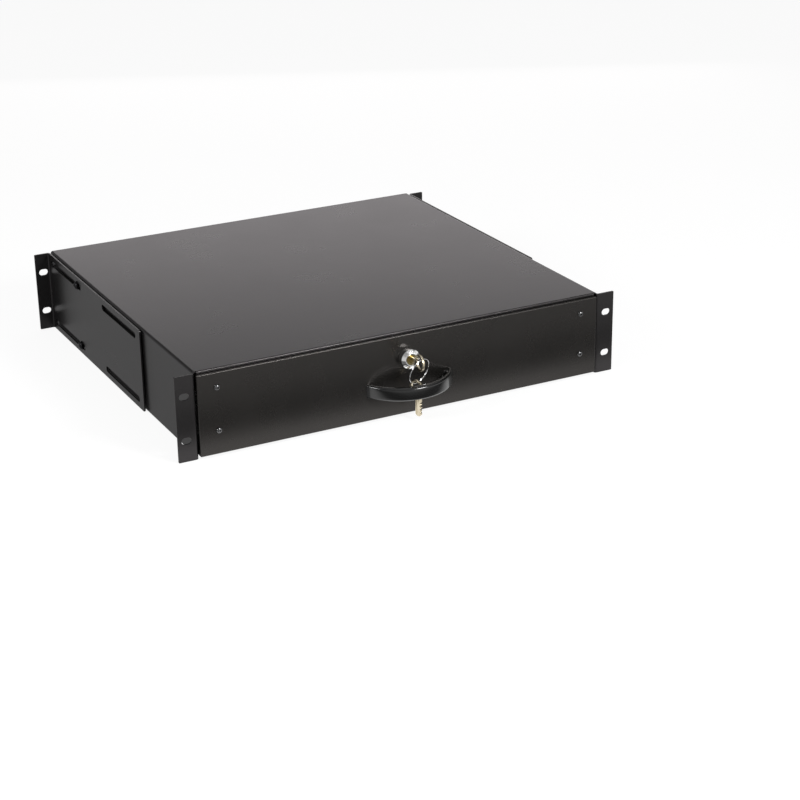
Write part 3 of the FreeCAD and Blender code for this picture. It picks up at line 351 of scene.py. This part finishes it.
def threads(radius, depth, pitch, start, length):
    """Profile rows of a screw thread: crests and roots along the shank."""
    rows = []
    count = int(length / (pitch / 2))
    for step in range(count + 1):
        crest = step % 2 and step < count
        rows.append((radius if crest else radius - depth, start + length * step / count))
    return rows


def cross_recess(mesh, place, direction, width, reach, depth):
    """Cuts a cross recess, narrower toward its floor, into a screw head."""
    along, side, up = frame_along(direction)
    above = 0.4 * depth
    floor_share = 0.45
    cutter = bmesh.new()
    for first, second in ((side, up), (up, side)):
        corners = []
        for end, taper in ((-above, 1.0), (depth, floor_share)):
            for a, b in ((-1, -1), (1, -1), (1, 1), (-1, 1)):
                corner = (Vector(place) + along * end + first * (a * reach * taper)
                          + second * (b * width * (1 + taper) / 2))
                corners.append(cutter.verts.new(corner))
        for loop in ((0, 1, 2, 3), (7, 6, 5, 4), (0, 4, 5, 1), (1, 5, 6, 2), (2, 6, 7, 3), (3, 7, 4, 0)):
            cutter.faces.new([corners[index] for index in loop])
    bmesh.ops.recalc_face_normals(cutter, faces=cutter.faces)
    cutter_mesh = bpy.data.meshes.new("cutter")
    cutter.to_mesh(cutter_mesh)
    cutter.free()
    return subtract(mesh, cutter_mesh)


def subtract(mesh, cutter_mesh):
    """The mesh with the cutter taken away."""
    base = bpy.data.objects.new("base", mesh)
    tool = bpy.data.objects.new("tool", cutter_mesh)
    for thing in (base, tool):
        bpy.context.scene.collection.objects.link(thing)
    change = base.modifiers.new("cut", "BOOLEAN")
    change.operation = "DIFFERENCE"
    change.solver = "EXACT"
    change.use_self = True
    change.object = tool
    bpy.context.view_layer.update()
    graph = bpy.context.evaluated_depsgraph_get()
    result = bpy.data.meshes.new_from_object(base.evaluated_get(graph))
    for thing in (base, tool):
        bpy.data.objects.remove(thing)
    return result


def join_meshes(meshes):
    """One mesh from several."""
    joined = bmesh.new()
    for mesh in meshes:
        joined.from_mesh(mesh)
    result = bpy.data.meshes.new("joined")
    joined.to_mesh(result)
    joined.free()
    return result


# ---------------------------------------------------------------------------
# Screws
# ---------------------------------------------------------------------------
# Head radius, head depth, shank radius and thread pitch
SMALL_SCREW = (3.0 * MM, 2.2 * MM, 1.5 * MM, 0.5 * MM)
LARGE_SCREW = (4.0 * MM, 2.6 * MM, 2.0 * MM, 0.7 * MM)

# Shares of the head's radius or depth, and of the shank's radius
DOME_EDGE = 0.2
RIM_EDGE = 0.1
SEAT_RADIUS = 0.97
RECESS_WIDTH = 0.11
RECESS_REACH = 0.45
RECESS_DEPTH = 0.5
THREAD_DEPTH = 0.14

DOME_STEPS = 8
THREAD_START = 0.3 * MM
END_CROWN = 0.02 * MM


def domed_screw(place, direction, head_radius, head_depth, shank_radius, shank_length, pitch):
    """A pan-head screw with a cross recess; place is the middle of the head's seat."""
    edge = DOME_EDGE * head_depth
    rows = [(0.0, -head_depth)]
    for step in range(1, DOME_STEPS + 1):
        angle = math.radians(90 * step / DOME_STEPS)
        rows.append((head_radius * math.sin(angle), -edge - (head_depth - edge) * math.cos(angle)))
    rows += [(head_radius, -RIM_EDGE * head_depth), (head_radius * SEAT_RADIUS, 0.0), (shank_radius, 0.0)]
    rows += threads(shank_radius, THREAD_DEPTH * shank_radius, pitch,
                    THREAD_START, shank_length - THREAD_START)
    rows += [(0.0, shank_length + END_CROWN)]
    mesh = mesh_from([turned(rows, place, direction, steps=48)])
    top = Vector(place) - Vector(direction) * head_depth
    return cross_recess(mesh, top, direction, head_radius * RECESS_WIDTH, head_radius * RECESS_REACH,
                        head_depth * RECESS_DEPTH)


def islands(name):
    """The boxes of a node's separate solids, as (low, high), sorted by place."""
    source = bmesh.new()
    source.from_mesh(nodes[name].data)
    bmesh.ops.remove_doubles(source, verts=source.verts, dist=MERGE)
    left = set(source.verts)
    boxes = []
    while left:
        group = [left.pop()]
        reached = list(group)
        while reached:
            vertex = reached.pop()
            for edge in vertex.link_edges:
                other = edge.other_vert(vertex)
                if other in left:
                    left.discard(other)
                    group.append(other)
                    reached.append(other)
        low = Vector([min(vertex.co[axis] for vertex in group) for axis in range(3)])
        high = Vector([max(vertex.co[axis] for vertex in group) for axis in range(3)])
        boxes.append((low, high))
    source.free()
    return sorted(boxes, key=lambda box: tuple(round(value, 5) for value in box[0]))


def replace_screws(node, body, axis, sign_at, screw):
    """Puts detailed screws where a node's plain ones are.

    sign_at(middle) says which way along the axis the shank points.
    """
    head_radius, head_depth, shank_radius, pitch = screw
    meshes = []
    for low, high in islands(node):
        place = (low + high) / 2
        sign = sign_at(place)
        direction = Vector((0, 0, 0))
        direction[axis] = sign
        shank_length = high[axis] - low[axis] - head_depth
        place[axis] = (low[axis] if sign > 0 else high[axis]) + sign * head_depth
        meshes.append(domed_screw(place, direction, head_radius, head_depth, shank_radius,
                                  shank_length, pitch))
    piece = add_piece(node + "_detail", join_meshes(meshes), node, body)
    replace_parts(piece, node)


def rearward(middle):
    return 1


def forward(middle):
    return -1


def inward(middle):
    return -1 if middle.x > 0 else 1


def outward(middle):
    return -inward(middle)


replace_screws("front_screws", "drawer", 1, rearward, SMALL_SCREW)
replace_screws("bracket_screws", "casing", 0, inward, LARGE_SCREW)
replace_screws("tray_rail_screws", "drawer", 0, outward, SMALL_SCREW)
replace_screws("handle_screws", "drawer", 1, forward, LARGE_SCREW)


# ---------------------------------------------------------------------------
# Handle: a crescent swept with a soft-edged section
# ---------------------------------------------------------------------------
HANDLE_THICK = 7.0 * MM
HANDLE_EASING = 1.5 * MM
HANDLE_OUTER_ROUND = 2.4 * MM
HANDLE_INNER_ROUND = 1.6 * MM
ROUND_LIMIT = 0.45
HANDLE_CROWN = 0.2 * MM
HANDLE_STATIONS = 96
HANDLE_OVERSHOOT = 0.05
FOOT_INSET = 6.8 * MM
FOOT_LENGTH = 7.0 * MM
FOOT_RADIUS = 5.0 * MM
FOOT_ROUND = 0.8 * MM
FOOT_ROW = 0.4 * MM
FOOT_ROWS = 14
FOOT_EDGE = 0.3 * MM
FOOT_FLARE = 0.5 * MM


def handle_section(thick, half):
    """Section points (inward from the outer face, height), going once round."""
    outer = min(HANDLE_OUTER_ROUND, ROUND_LIMIT * thick)
    inner = min(HANDLE_INNER_ROUND, ROUND_LIMIT * thick)
    points = arc((outer, half - outer), outer, 90, 180, steps=7)
    points += [(0.0, share * (half - outer)) for share in (0.5, 0.0, -0.5)]
    points += arc((outer, outer - half), outer, 180, 270, steps=7)
    points += arc((thick - inner, inner - half), inner, 270, 360, steps=7)
    points += arc((thick - inner, half - inner), inner, 0, 90, steps=7)
    crowned = []
    for depth, height in points:
        if depth < thick / 2:
            depth += HANDLE_CROWN * (height / half) ** 2
        crowned.append((depth, height))
    return crowned


def crescent(low, high, centre, radius):
    """The crescent between the outer face and a flatter inner face, cut off at the front panel."""
    half = (high.z - low.z) / 2
    offset = HANDLE_THICK - HANDLE_EASING
    inner_radius = radius - HANDLE_EASING
    limit = math.asin((high.x - low.x) / 2 / radius) + HANDLE_OVERSHOOT
    points, faces = [], []
    for station in range(HANDLE_STATIONS + 1):
        angle = -limit + 2 * limit * station / HANDLE_STATIONS
        out = Vector((math.sin(angle), -math.cos(angle), 0))
        inside = offset * math.cos(angle)
        near = -inside + math.sqrt(inside ** 2 - offset ** 2 + inner_radius ** 2)
        section = handle_section(radius - near, half)
        for depth, height in section:
            points.append(centre + out * (radius - depth) + Vector((0, 0, height)))
    count = len(section)
    for station in range(HANDLE_STATIONS):
        for index in range(count):
            after = (index + 1) % count
            faces.append((station * count + index, station * count + after,
                          (station + 1) * count + after, (station + 1) * count + index))
    faces.append(tuple(range(count)))
    faces.append(tuple(HANDLE_STATIONS * count + index for index in range(count)))
    mesh = mesh_from([(points, faces)])
    trimmed = bmesh.new()
    trimmed.from_mesh(mesh)
    bmesh.ops.recalc_face_normals(trimmed, faces=trimmed.faces)
    cut = bmesh.ops.bisect_plane(trimmed, geom=trimmed.verts[:] + trimmed.edges[:] + trimmed.faces[:],
                                 plane_co=(0, high.y, 0), plane_no=(0, 1, 0), clear_outer=True)
    rim = [item for item in cut["geom_cut"] if isinstance(item, bmesh.types.BMEdge)]
    bmesh.ops.holes_fill(trimmed, edges=rim)
    trimmed.to_mesh(mesh)
    trimmed.free()
    return mesh


def handle_foot(side, high, centre, radius):
    """A round boss behind one horn, kept within the crescent's outer face."""
    half_chord = high.x - centre.x
    at = (centre.x + side * (half_chord - FOOT_INSET), high.y, centre.z)
    core = FOOT_RADIUS - FOOT_ROUND
    rows = [(0.0, FOOT_LENGTH)] + arc((core, FOOT_LENGTH - FOOT_ROUND), FOOT_ROUND, 90, 0)
    rows += [(FOOT_RADIUS, FOOT_ROW * step) for step in range(FOOT_ROWS, 1, -1)]
    rows += [(FOOT_RADIUS + FOOT_EDGE, FOOT_EDGE), (FOOT_RADIUS + FOOT_FLARE, 0.0), (0.0, 0.0)]
    points, faces = turned(rows, at, (0, -1, 0), steps=48)
    limit = radius - HANDLE_EASING
    for point in points:
        flat = Vector((point.x - centre.x, point.y - centre.y, 0))
        if flat.length > limit:
            flat *= limit / flat.length
            point.x, point.y = centre.x + flat.x, min(centre.y + flat.y, high.y)
    return mesh_from([(points, faces)])


def make_handle():
    low, high = (Vector(corner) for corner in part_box("handle"))
    reach = high.y - low.y
    half_chord = (high.x - low.x) / 2
    radius = (half_chord ** 2 + reach ** 2) / (2 * reach)
    centre = Vector(((low.x + high.x) / 2, low.y + radius, (low.z + high.z) / 2))
    meshes = [crescent(low, high, centre, radius)]
    for side in (-1, 1):
        meshes.append(handle_foot(side, high, centre, radius))
    piece = add_piece("handle_moulding", join_meshes(meshes), "handle", "drawer")
    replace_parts(piece, "handle")


make_handle()


# ---------------------------------------------------------------------------
# Lock: chrome head with a fluted bevel, threaded body with two flats
# ---------------------------------------------------------------------------
LOCK_FACE = 6.6 * MM
LOCK_BORE = 5.26 * MM
LOCK_BODY = 8.9 * MM
LOCK_FLAT = 7.6 * MM
LOCK_HEAD = 10.0 * MM
LOCK_BEVEL = 2.2 * MM
BEVEL_ROWS = 6
BEVEL_CURL = 0.15
BEVEL_EDGE = 0.4 * MM
REAR_EDGE = (0.3 * MM, 0.4 * MM)
BORE_EDGE = (0.25 * MM, 0.12 * MM)
BORE_LIP = 0.5 * MM
FACE_EDGE = (0.3 * MM, 0.06 * MM)
FLUTES = 13
FLUTE_DEPTH = 0.22 * MM
LOCK_STEPS = 12 * FLUTES
LOCK_THREAD_DEPTH = 0.4 * MM
LOCK_THREAD_PITCH = 1.0 * MM


def make_lock():
    low, high = (Vector(corner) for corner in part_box("lock_barrel"))
    axis = (0, low.y, (low.z + high.z) / 2)
    rim = (high.z - low.z) / 2
    depth = high.y - low.y
    bevel = rim - LOCK_FACE
    rows = [(LOCK_BORE, LOCK_HEAD), (LOCK_BORE, BORE_LIP), (LOCK_BORE + BORE_EDGE[0], BORE_EDGE[1]),
            (LOCK_FACE - FACE_EDGE[0], 0.0), (LOCK_FACE, FACE_EDGE[1])]
    for step in range(1, BEVEL_ROWS + 1):
        share = step / BEVEL_ROWS
        drop = (1 - BEVEL_CURL) * share + BEVEL_CURL * share ** 3
        rows.append((LOCK_FACE + bevel * share, LOCK_BEVEL * drop))
    rows += [(rim, LOCK_BEVEL + BEVEL_EDGE), (rim, LOCK_HEAD - REAR_EDGE[1]),
             (rim - REAR_EDGE[0], LOCK_HEAD), (LOCK_BODY, LOCK_HEAD)]
    rows += threads(LOCK_BODY, LOCK_THREAD_DEPTH, LOCK_THREAD_PITCH, LOCK_HEAD, depth - LOCK_HEAD)
    rows += [(LOCK_BORE, depth), (LOCK_BORE, LOCK_HEAD)]

    def fluted(angle, radius, distance):
        """A slight waviness of the bevel, which breaks its reflections into rays."""
        if distance > LOCK_BEVEL or radius <= LOCK_FACE:
            return radius
        share = (radius - LOCK_FACE) / bevel
        across = 4 * share * (1 - share)
        round_about = (1 + math.cos(FLUTES * angle)) / 2
        return radius - FLUTE_DEPTH * across * round_about

    points, faces = turned(rows, axis, (0, 1, 0), LOCK_STEPS, fluted)
    # The profile closes on itself, so the form has no end faces
    faces = faces[:-2]
    for point in points:
        if point.y > low.y + LOCK_HEAD + 10 * MERGE:
            point.x = max(-LOCK_FLAT, min(LOCK_FLAT, point.x))
    piece = add_piece("lock_barrel_detail", mesh_from([(points, faces)]), "lock_barrel", "drawer")
    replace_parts(piece, "lock_barrel")


make_lock()


# ---------------------------------------------------------------------------
# Keys: the flat outline with softened edges and milled grooves
# ---------------------------------------------------------------------------
KEY_THICKNESS = 2.2 * MM
KEY_EDGE = 0.22 * MM

# The key's own plane, in millimetres from the lock's axis: y along the blade, z across it
SHOULDER = -20.0
BLADE_LENGTH = 20.5
BLADE_HALF = 3.5
BLADE_CORNER = 2.0
NECK_HALF = 4.5
BOW_CENTRE = (-28.5, 2.5)
BOW_RADIUS = 8.5
EYE_CENTRE = (-29.3, 2.5)
EYE_RADIUS = 5.6
ROUND_STEPS = 48
CUT_STEPS = (1, 2, 1.5, 1)
CUT_STEP = 0.8
FIRST_CUT = 5.0
CUT_PITCH = 3.2
CUT_SLOPE = 0.8
CUT_FLAT = 0.6
GROOVE_MIDDLE = -8.5
GROOVE_HEIGHTS = ((-1, 1.3), (1, -0.2))
GROOVE_SIZE = (0.9, 20.6, 1.3)


def key_outline():
    """Outline of the key's blade, neck and bow in its own plane, blade toward +Y."""
    points = [(SHOULDER, -NECK_HALF), (SHOULDER, -BLADE_HALF)]
    for index, steps in enumerate(CUT_STEPS):
        start = SHOULDER + FIRST_CUT + CUT_PITCH * index
        floor = CUT_STEP * steps - BLADE_HALF
        points += [(start, -BLADE_HALF), (start + CUT_SLOPE, floor),
                   (start + CUT_SLOPE + CUT_FLAT, floor), (start + 2 * CUT_SLOPE + CUT_FLAT, -BLADE_HALF)]
    tip = SHOULDER + BLADE_LENGTH
    points += [(tip - BLADE_CORNER, -BLADE_HALF), (tip, BLADE_CORNER - BLADE_HALF),
               (tip, BLADE_HALF - BLADE_CORNER), (tip - BLADE_CORNER, BLADE_HALF),
               (SHOULDER, BLADE_HALF), (SHOULDER, NECK_HALF)]
    first = math.asin((NECK_HALF - BOW_CENTRE[1]) / BOW_RADIUS)
    last = math.asin((-NECK_HALF - BOW_CENTRE[1]) / BOW_RADIUS) + 2 * math.pi
    return points + arc(BOW_CENTRE, BOW_RADIUS, math.degrees(first), math.degrees(last), ROUND_STEPS)


def key_mesh():
    """The key at x = 0, with its blade along +Y and the lock's axis at z = 0."""
    curve = bpy.data.curves.new("key", "CURVE")
    curve.dimensions = "2D"
    curve.fill_mode = "BOTH"
    curve.extrude = KEY_THICKNESS / 2 - KEY_EDGE
    curve.bevel_depth = KEY_EDGE
    curve.bevel_resolution = 2
    curve.offset = -KEY_EDGE
    eye = arc(EYE_CENTRE, EYE_RADIUS, 0, 360, ROUND_STEPS)[:-1]
    for points in (key_outline(), eye):
        spline = curve.splines.new("POLY")
        spline.points.add(len(points) - 1)
        spline.use_cyclic_u = True
        for point, (y, z) in zip(spline.points, points):
            point.co = (y * MM, z * MM, 0, 1)
    thing = bpy.data.objects.new("key_curve", curve)
    bpy.context.scene.collection.objects.link(thing)
    bpy.context.view_layer.update()
    mesh = bpy.data.meshes.new_from_object(thing.evaluated_get(bpy.context.evaluated_depsgraph_get()))
    bpy.data.objects.remove(thing)
    mesh.transform(Matrix(((0, 0, 1, 0), (1, 0, 0, 0), (0, 1, 0, 0), (0, 0, 0, 1))))
    joined = bmesh.new()
    joined.from_mesh(mesh)
    bmesh.ops.remove_doubles(joined, verts=joined.verts, dist=2 * MERGE)
    bmesh.ops.recalc_face_normals(joined, faces=joined.faces)
    joined.to_mesh(mesh)
    joined.free()
    grooves = bmesh.new()
    for side, height in GROOVE_HEIGHTS:
        place = Vector((side * KEY_THICKNESS / 2, GROOVE_MIDDLE * MM, height * MM))
        size = Matrix.Diagonal((*(Vector(GROOVE_SIZE) * MM), 1))
        bmesh.ops.create_cube(grooves, size=1, matrix=Matrix.Translation(place) @ size)
    groove_mesh = bpy.data.meshes.new("grooves")
    grooves.to_mesh(groove_mesh)
    grooves.free()
    return subtract(mesh, groove_mesh)


# How far the hanging ring turns about the upright and leans back
RING_YAW = math.radians(21.4)
RING_LEAN = math.radians(16.2)


def make_keys():
    """One key in the lock, and one that hangs square to the ring."""
    lock_low, lock_high = (Vector(corner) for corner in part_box("lock_barrel"))
    in_lock = key_mesh()
    in_lock.transform(Matrix.Translation((0, 0, (lock_low.z + lock_high.z) / 2)))
    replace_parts(add_piece("key_detail", in_lock, "key", "lock_cylinder"), "key")
    hanging = key_mesh()
    hanging.transform(Matrix.Rotation(RING_YAW, 4, "Z") @ Matrix.Rotation(math.radians(-90), 4, "X"))
    low, high = (Vector(corner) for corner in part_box("spare_key"))
    own_low = Vector([min(vertex.co[axis] for vertex in hanging.vertices) for axis in range(3)])
    own_high = Vector([max(vertex.co[axis] for vertex in hanging.vertices) for axis in range(3)])
    hanging.transform(Matrix.Translation((low + high - own_low - own_high) / 2))
    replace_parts(add_piece("spare_key_detail", hanging, "spare_key", "second_key"), "spare_key")


make_keys()


# ---------------------------------------------------------------------------
# Key ring: two turns of round wire side by side, stepping across once
# ---------------------------------------------------------------------------
RING_RADIUS = 13.5 * MM
RING_WIRE = 0.29 * MM
RING_GAP = 0.3 * MM
RING_STEPS = 240
WIRE_SIDES = 12
RING_END = math.radians(200)
CROSSING = 0.035


def make_ring():
    centre = middle_of("key_ring")
    across = Vector((math.cos(RING_YAW), math.sin(RING_YAW), 0))
    down = Vector((-math.sin(RING_YAW) * math.sin(RING_LEAN),
                   math.cos(RING_YAW) * math.sin(RING_LEAN), -math.cos(RING_LEAN)))
    axle = across.cross(down)
    points, faces = [], []
    for step in range(RING_STEPS + 1):
        share = step / RING_STEPS
        angle = RING_END + 4 * math.pi * share
        shift = RING_GAP * max(-1.0, min(1.0, (share - 0.5) / CROSSING))
        out = across * math.cos(angle) + down * math.sin(angle)
        middle = centre + out * RING_RADIUS + axle * shift
        for side in range(WIRE_SIDES):
            turn = 2 * math.pi * side / WIRE_SIDES
            points.append(middle + out * (RING_WIRE * math.cos(turn)) + axle * (RING_WIRE * math.sin(turn)))
    for step in range(RING_STEPS):
        for side in range(WIRE_SIDES):
            after = (side + 1) % WIRE_SIDES
            faces.append((step * WIRE_SIDES + side, step * WIRE_SIDES + after,
                          (step + 1) * WIRE_SIDES + after, (step + 1) * WIRE_SIDES + side))
    faces.append(tuple(range(WIRE_SIDES)))
    faces.append(tuple(RING_STEPS * WIRE_SIDES + side for side in range(WIRE_SIDES)))
    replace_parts(add_piece("key_ring_wire", mesh_from([(points, faces)]), "key_ring", "ring"), "key_ring")


make_ring()


# ---------------------------------------------------------------------------
# Balls, as round as they are
# ---------------------------------------------------------------------------
BALL_RADIUS = 1.5 * MM


def make_balls(side, level):
    node = "%s_%s_balls" % (side, level)
    balls = bmesh.new()
    for low, high in islands(node):
        bmesh.ops.create_icosphere(balls, subdivisions=3, radius=BALL_RADIUS,
                                   matrix=Matrix.Translation((low + high) / 2))
    mesh = bpy.data.meshes.new(node)
    balls.to_mesh(mesh)
    balls.free()
    body = "%s_%s_ball_cage" % (side, level)
    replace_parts(add_piece(node + "_round", mesh, node, body), node)


for side in ("left", "right"):
    for level in ("outer", "inner"):
        make_balls(side, level)


# ---------------------------------------------------------------------------
# Camera, studio and lights
# ---------------------------------------------------------------------------
CAMERA_PLACE = Vector((-813, -1553, 700.75)) * MM
CAMERA_AZIMUTH = math.radians(-27.42)
CAMERA_ELEVATION = math.radians(22.58)
CAMERA_ROLL = math.radians(-0.84)
FOCAL_LENGTH = 86.58
SENSOR_WIDTH = 36.0
FLOOR_CLEARANCE = 0.3 * MM
FLOOR_LEVEL = cad_bounds[0][2] - FLOOR_CLEARANCE


def make_camera():
    data = bpy.data.cameras.new("camera")
    data.lens = FOCAL_LENGTH
    data.sensor_width = SENSOR_WIDTH
    data.clip_end = 50
    camera = bpy.data.objects.new("camera", data)
    bpy.context.scene.collection.objects.link(camera)
    bpy.context.scene.camera = camera
    sin_a, cos_a = math.sin(CAMERA_AZIMUTH), math.cos(CAMERA_AZIMUTH)
    sin_e, cos_e = math.sin(CAMERA_ELEVATION), math.cos(CAMERA_ELEVATION)
    back = Vector((sin_a * cos_e, -cos_a * cos_e, sin_e))
    level_right = Vector((cos_a, sin_a, 0))
    level_up = back.cross(level_right)
    sin_r, cos_r = math.sin(CAMERA_ROLL), math.cos(CAMERA_ROLL)
    right = level_right * cos_r + level_up * sin_r
    up = level_up * cos_r - level_right * sin_r
    camera.matrix_world = Matrix.Translation(CAMERA_PLACE) @ Matrix((right, up, back)).transposed().to_4x4()


# World: light from all round, then what direct rays see of it, by height, bearing and side
FILL = 0.35
CANOPY = (0.5, 1.0)
CANOPY_LEVEL = 0.6
WALL_TOP = (0.15, 0.45)
CEILING = 0.07
WALL_TURN = (-0.25, 0.15)
WALL_LEFT = 0.3
WALL_BACK = 1.15
WALL_FRONT = (-0.7, -0.3)
FRONT_FILL = 0.3

# Floor: how white the camera sees it, and the painted reflection that glossy rays meet in front of and
# beside the object, a glow graded by place
FLOOR_HALF = 12.0
FLOOR_WHITE = 0.78
FLOOR_GLOW = 1.12
FLOOR_OPEN = 0.66
FLOOR_FAR = (-0.17, -0.09)
FLOOR_BAND = 0.05
FLOOR_NEAR = (-0.07, -0.02)
FLOOR_UNDER = 1.35
FLOOR_EDGE = (-0.004, 0.004)
FLOOR_SIDE = 0.35
FLOOR_RIGHT = (0.0, 0.3)
FLOOR_SHADE = 0.75
FLOOR_MIRROR = 0.85


def make_world():
    """White to the camera; reflections see a white sweep behind, a dark band and a grey canopy."""
    world = bpy.data.worlds.new("studio")
    bpy.context.scene.world = world
    world.use_nodes = True
    tree = Tree(world.node_tree)
    world.node_tree.nodes.clear()
    path = tree.node("ShaderNodeLightPath").outputs
    seen = tree.maths("MAXIMUM", path["Is Camera Ray"], path["Is Glossy Ray"])
    seen = tree.maths("MAXIMUM", seen, path["Is Transmission Ray"])
    x, y, z = tree.split(tree.node("ShaderNodeTexCoord").outputs["Generated"])
    rise = tree.fade(z, WALL_TOP, 1.0, CEILING)
    wall = tree.fade(tree.maths("ARCTAN2", x, y), WALL_TURN, WALL_LEFT, WALL_BACK)
    overhead = tree.fade(z, CANOPY, 0.0, CANOPY_LEVEL)
    ahead = tree.fade(y, WALL_FRONT, FRONT_FILL, 0.0)
    level = tree.maths("ADD", tree.maths("MULTIPLY_ADD", rise, wall, overhead), ahead)
    level = tree.maths("MAXIMUM", level, path["Is Camera Ray"])
    dim = tree.node("ShaderNodeBackground")
    dim.inputs["Color"].default_value = (1, 1, 1, 1)
    dim.inputs["Strength"].default_value = FILL
    bright = tree.node("ShaderNodeBackground")
    bright.inputs["Color"].default_value = (1, 1, 1, 1)
    tree.link(level, bright.inputs["Strength"])
    output = tree.node("ShaderNodeOutputWorld")
    tree.link(tree.mix(seen, dim.outputs[0], bright.outputs[0]), output.inputs["Surface"])


def painted_floor_reflection(graph):
    """Painted reflection: how bright the floor glows to glossy rays, a dark band before the front, dimmer
    beside and right.
    """
    x, y, _ = graph.split(graph.place)
    entering = graph.fade(y, FLOOR_FAR, FLOOR_OPEN, FLOOR_BAND)
    leaving = graph.fade(y, FLOOR_NEAR, 0.0, FLOOR_UNDER - FLOOR_BAND)
    shade = graph.fade(x, FLOOR_RIGHT, 1.0, FLOOR_SHADE)
    front = graph.maths("MULTIPLY", graph.maths("ADD", entering, leaving), shade)
    beside = graph.fade(y, FLOOR_EDGE, 0.0, 1.0)
    return graph.maths("ADD", graph.maths("MULTIPLY", beside, FLOOR_SIDE),
                       graph.maths("MULTIPLY", graph.maths("SUBTRACT", 1.0, beside), front))


def make_floor():
    """A pale floor, near white to the camera, with a soft contact shadow."""
    mesh = bpy.data.meshes.new("floor")
    corners = [(x * FLOOR_HALF, y * FLOOR_HALF, FLOOR_LEVEL)
               for x, y in ((-1, -1), (1, -1), (1, 1), (-1, 1))]
    mesh.from_pydata(corners, [], [(0, 1, 2, 3)])
    floor = bpy.data.objects.new("floor", mesh)
    bpy.context.scene.collection.objects.link(floor)
    graph = Graph("floor")
    tone = graph.noise(scale=3, detail=2, roughness=0.5)
    graph.finish(graph.ramp(tone, [(0.3, 0.80), (0.7, 0.82)]), Roughness=0.9)
    path = graph.node("ShaderNodeLightPath").outputs
    camera, glossy = path["Is Camera Ray"], path["Is Glossy Ray"]
    glow = graph.node("ShaderNodeEmission")
    glow.inputs["Color"].default_value = (1, 1, 1, 1)
    camera_level = graph.maths("MULTIPLY", camera, FLOOR_GLOW)
    # Glossy rays see the floor glow with the painted reflection: a dark band before the front, dimmer
    # beside and right
    glossy_level = graph.maths("MULTIPLY", glossy, painted_floor_reflection(graph))
    graph.link(graph.maths("ADD", camera_level, glossy_level), glow.inputs["Strength"])
    share = graph.maths("ADD", graph.maths("MULTIPLY", camera, FLOOR_WHITE),
                        graph.maths("MULTIPLY", glossy, FLOOR_MIRROR))
    surface = graph.mix(share, graph.shader.outputs[0], glow.outputs[0])
    graph.link(surface, graph.tree.nodes["Material Output"].inputs["Surface"])
    floor.data.materials.append(graph.material)


def area_light(name, place, target, size, power, colour=(1, 1, 1)):
    """A rectangular lamp at a place, facing a target; its power is in watts."""
    data = bpy.data.lights.new(name, "AREA")
    data.shape = "RECTANGLE"
    data.size, data.size_y = size
    data.energy = power
    data.color = colour
    lamp = bpy.data.objects.new(name, data)
    bpy.context.scene.collection.objects.link(lamp)
    lamp.location = place
    lamp.rotation_mode = "QUATERNION"
    lamp.rotation_quaternion = (Vector(target) - Vector(place)).to_track_quat("-Z", "Y")


make_camera()
make_world()
make_floor()
area_light("front_right_softbox", (0.55, -1.35, 0.85), (0, 0, 0), size=(0.5, 0.35), power=20)
area_light("left_softbox", (-1.45, -0.1, 0.85), (0, 0, 0), size=(0.5, 0.4), power=10)
area_light("back_card", (0.62, 1.35, 0.26), (0, 0, 0.1), size=(1.3, 0.52), power=1.15,
           colour=(1.0, 0.9, 0.93))
bpy.context.scene.view_settings.view_transform = "Standard"
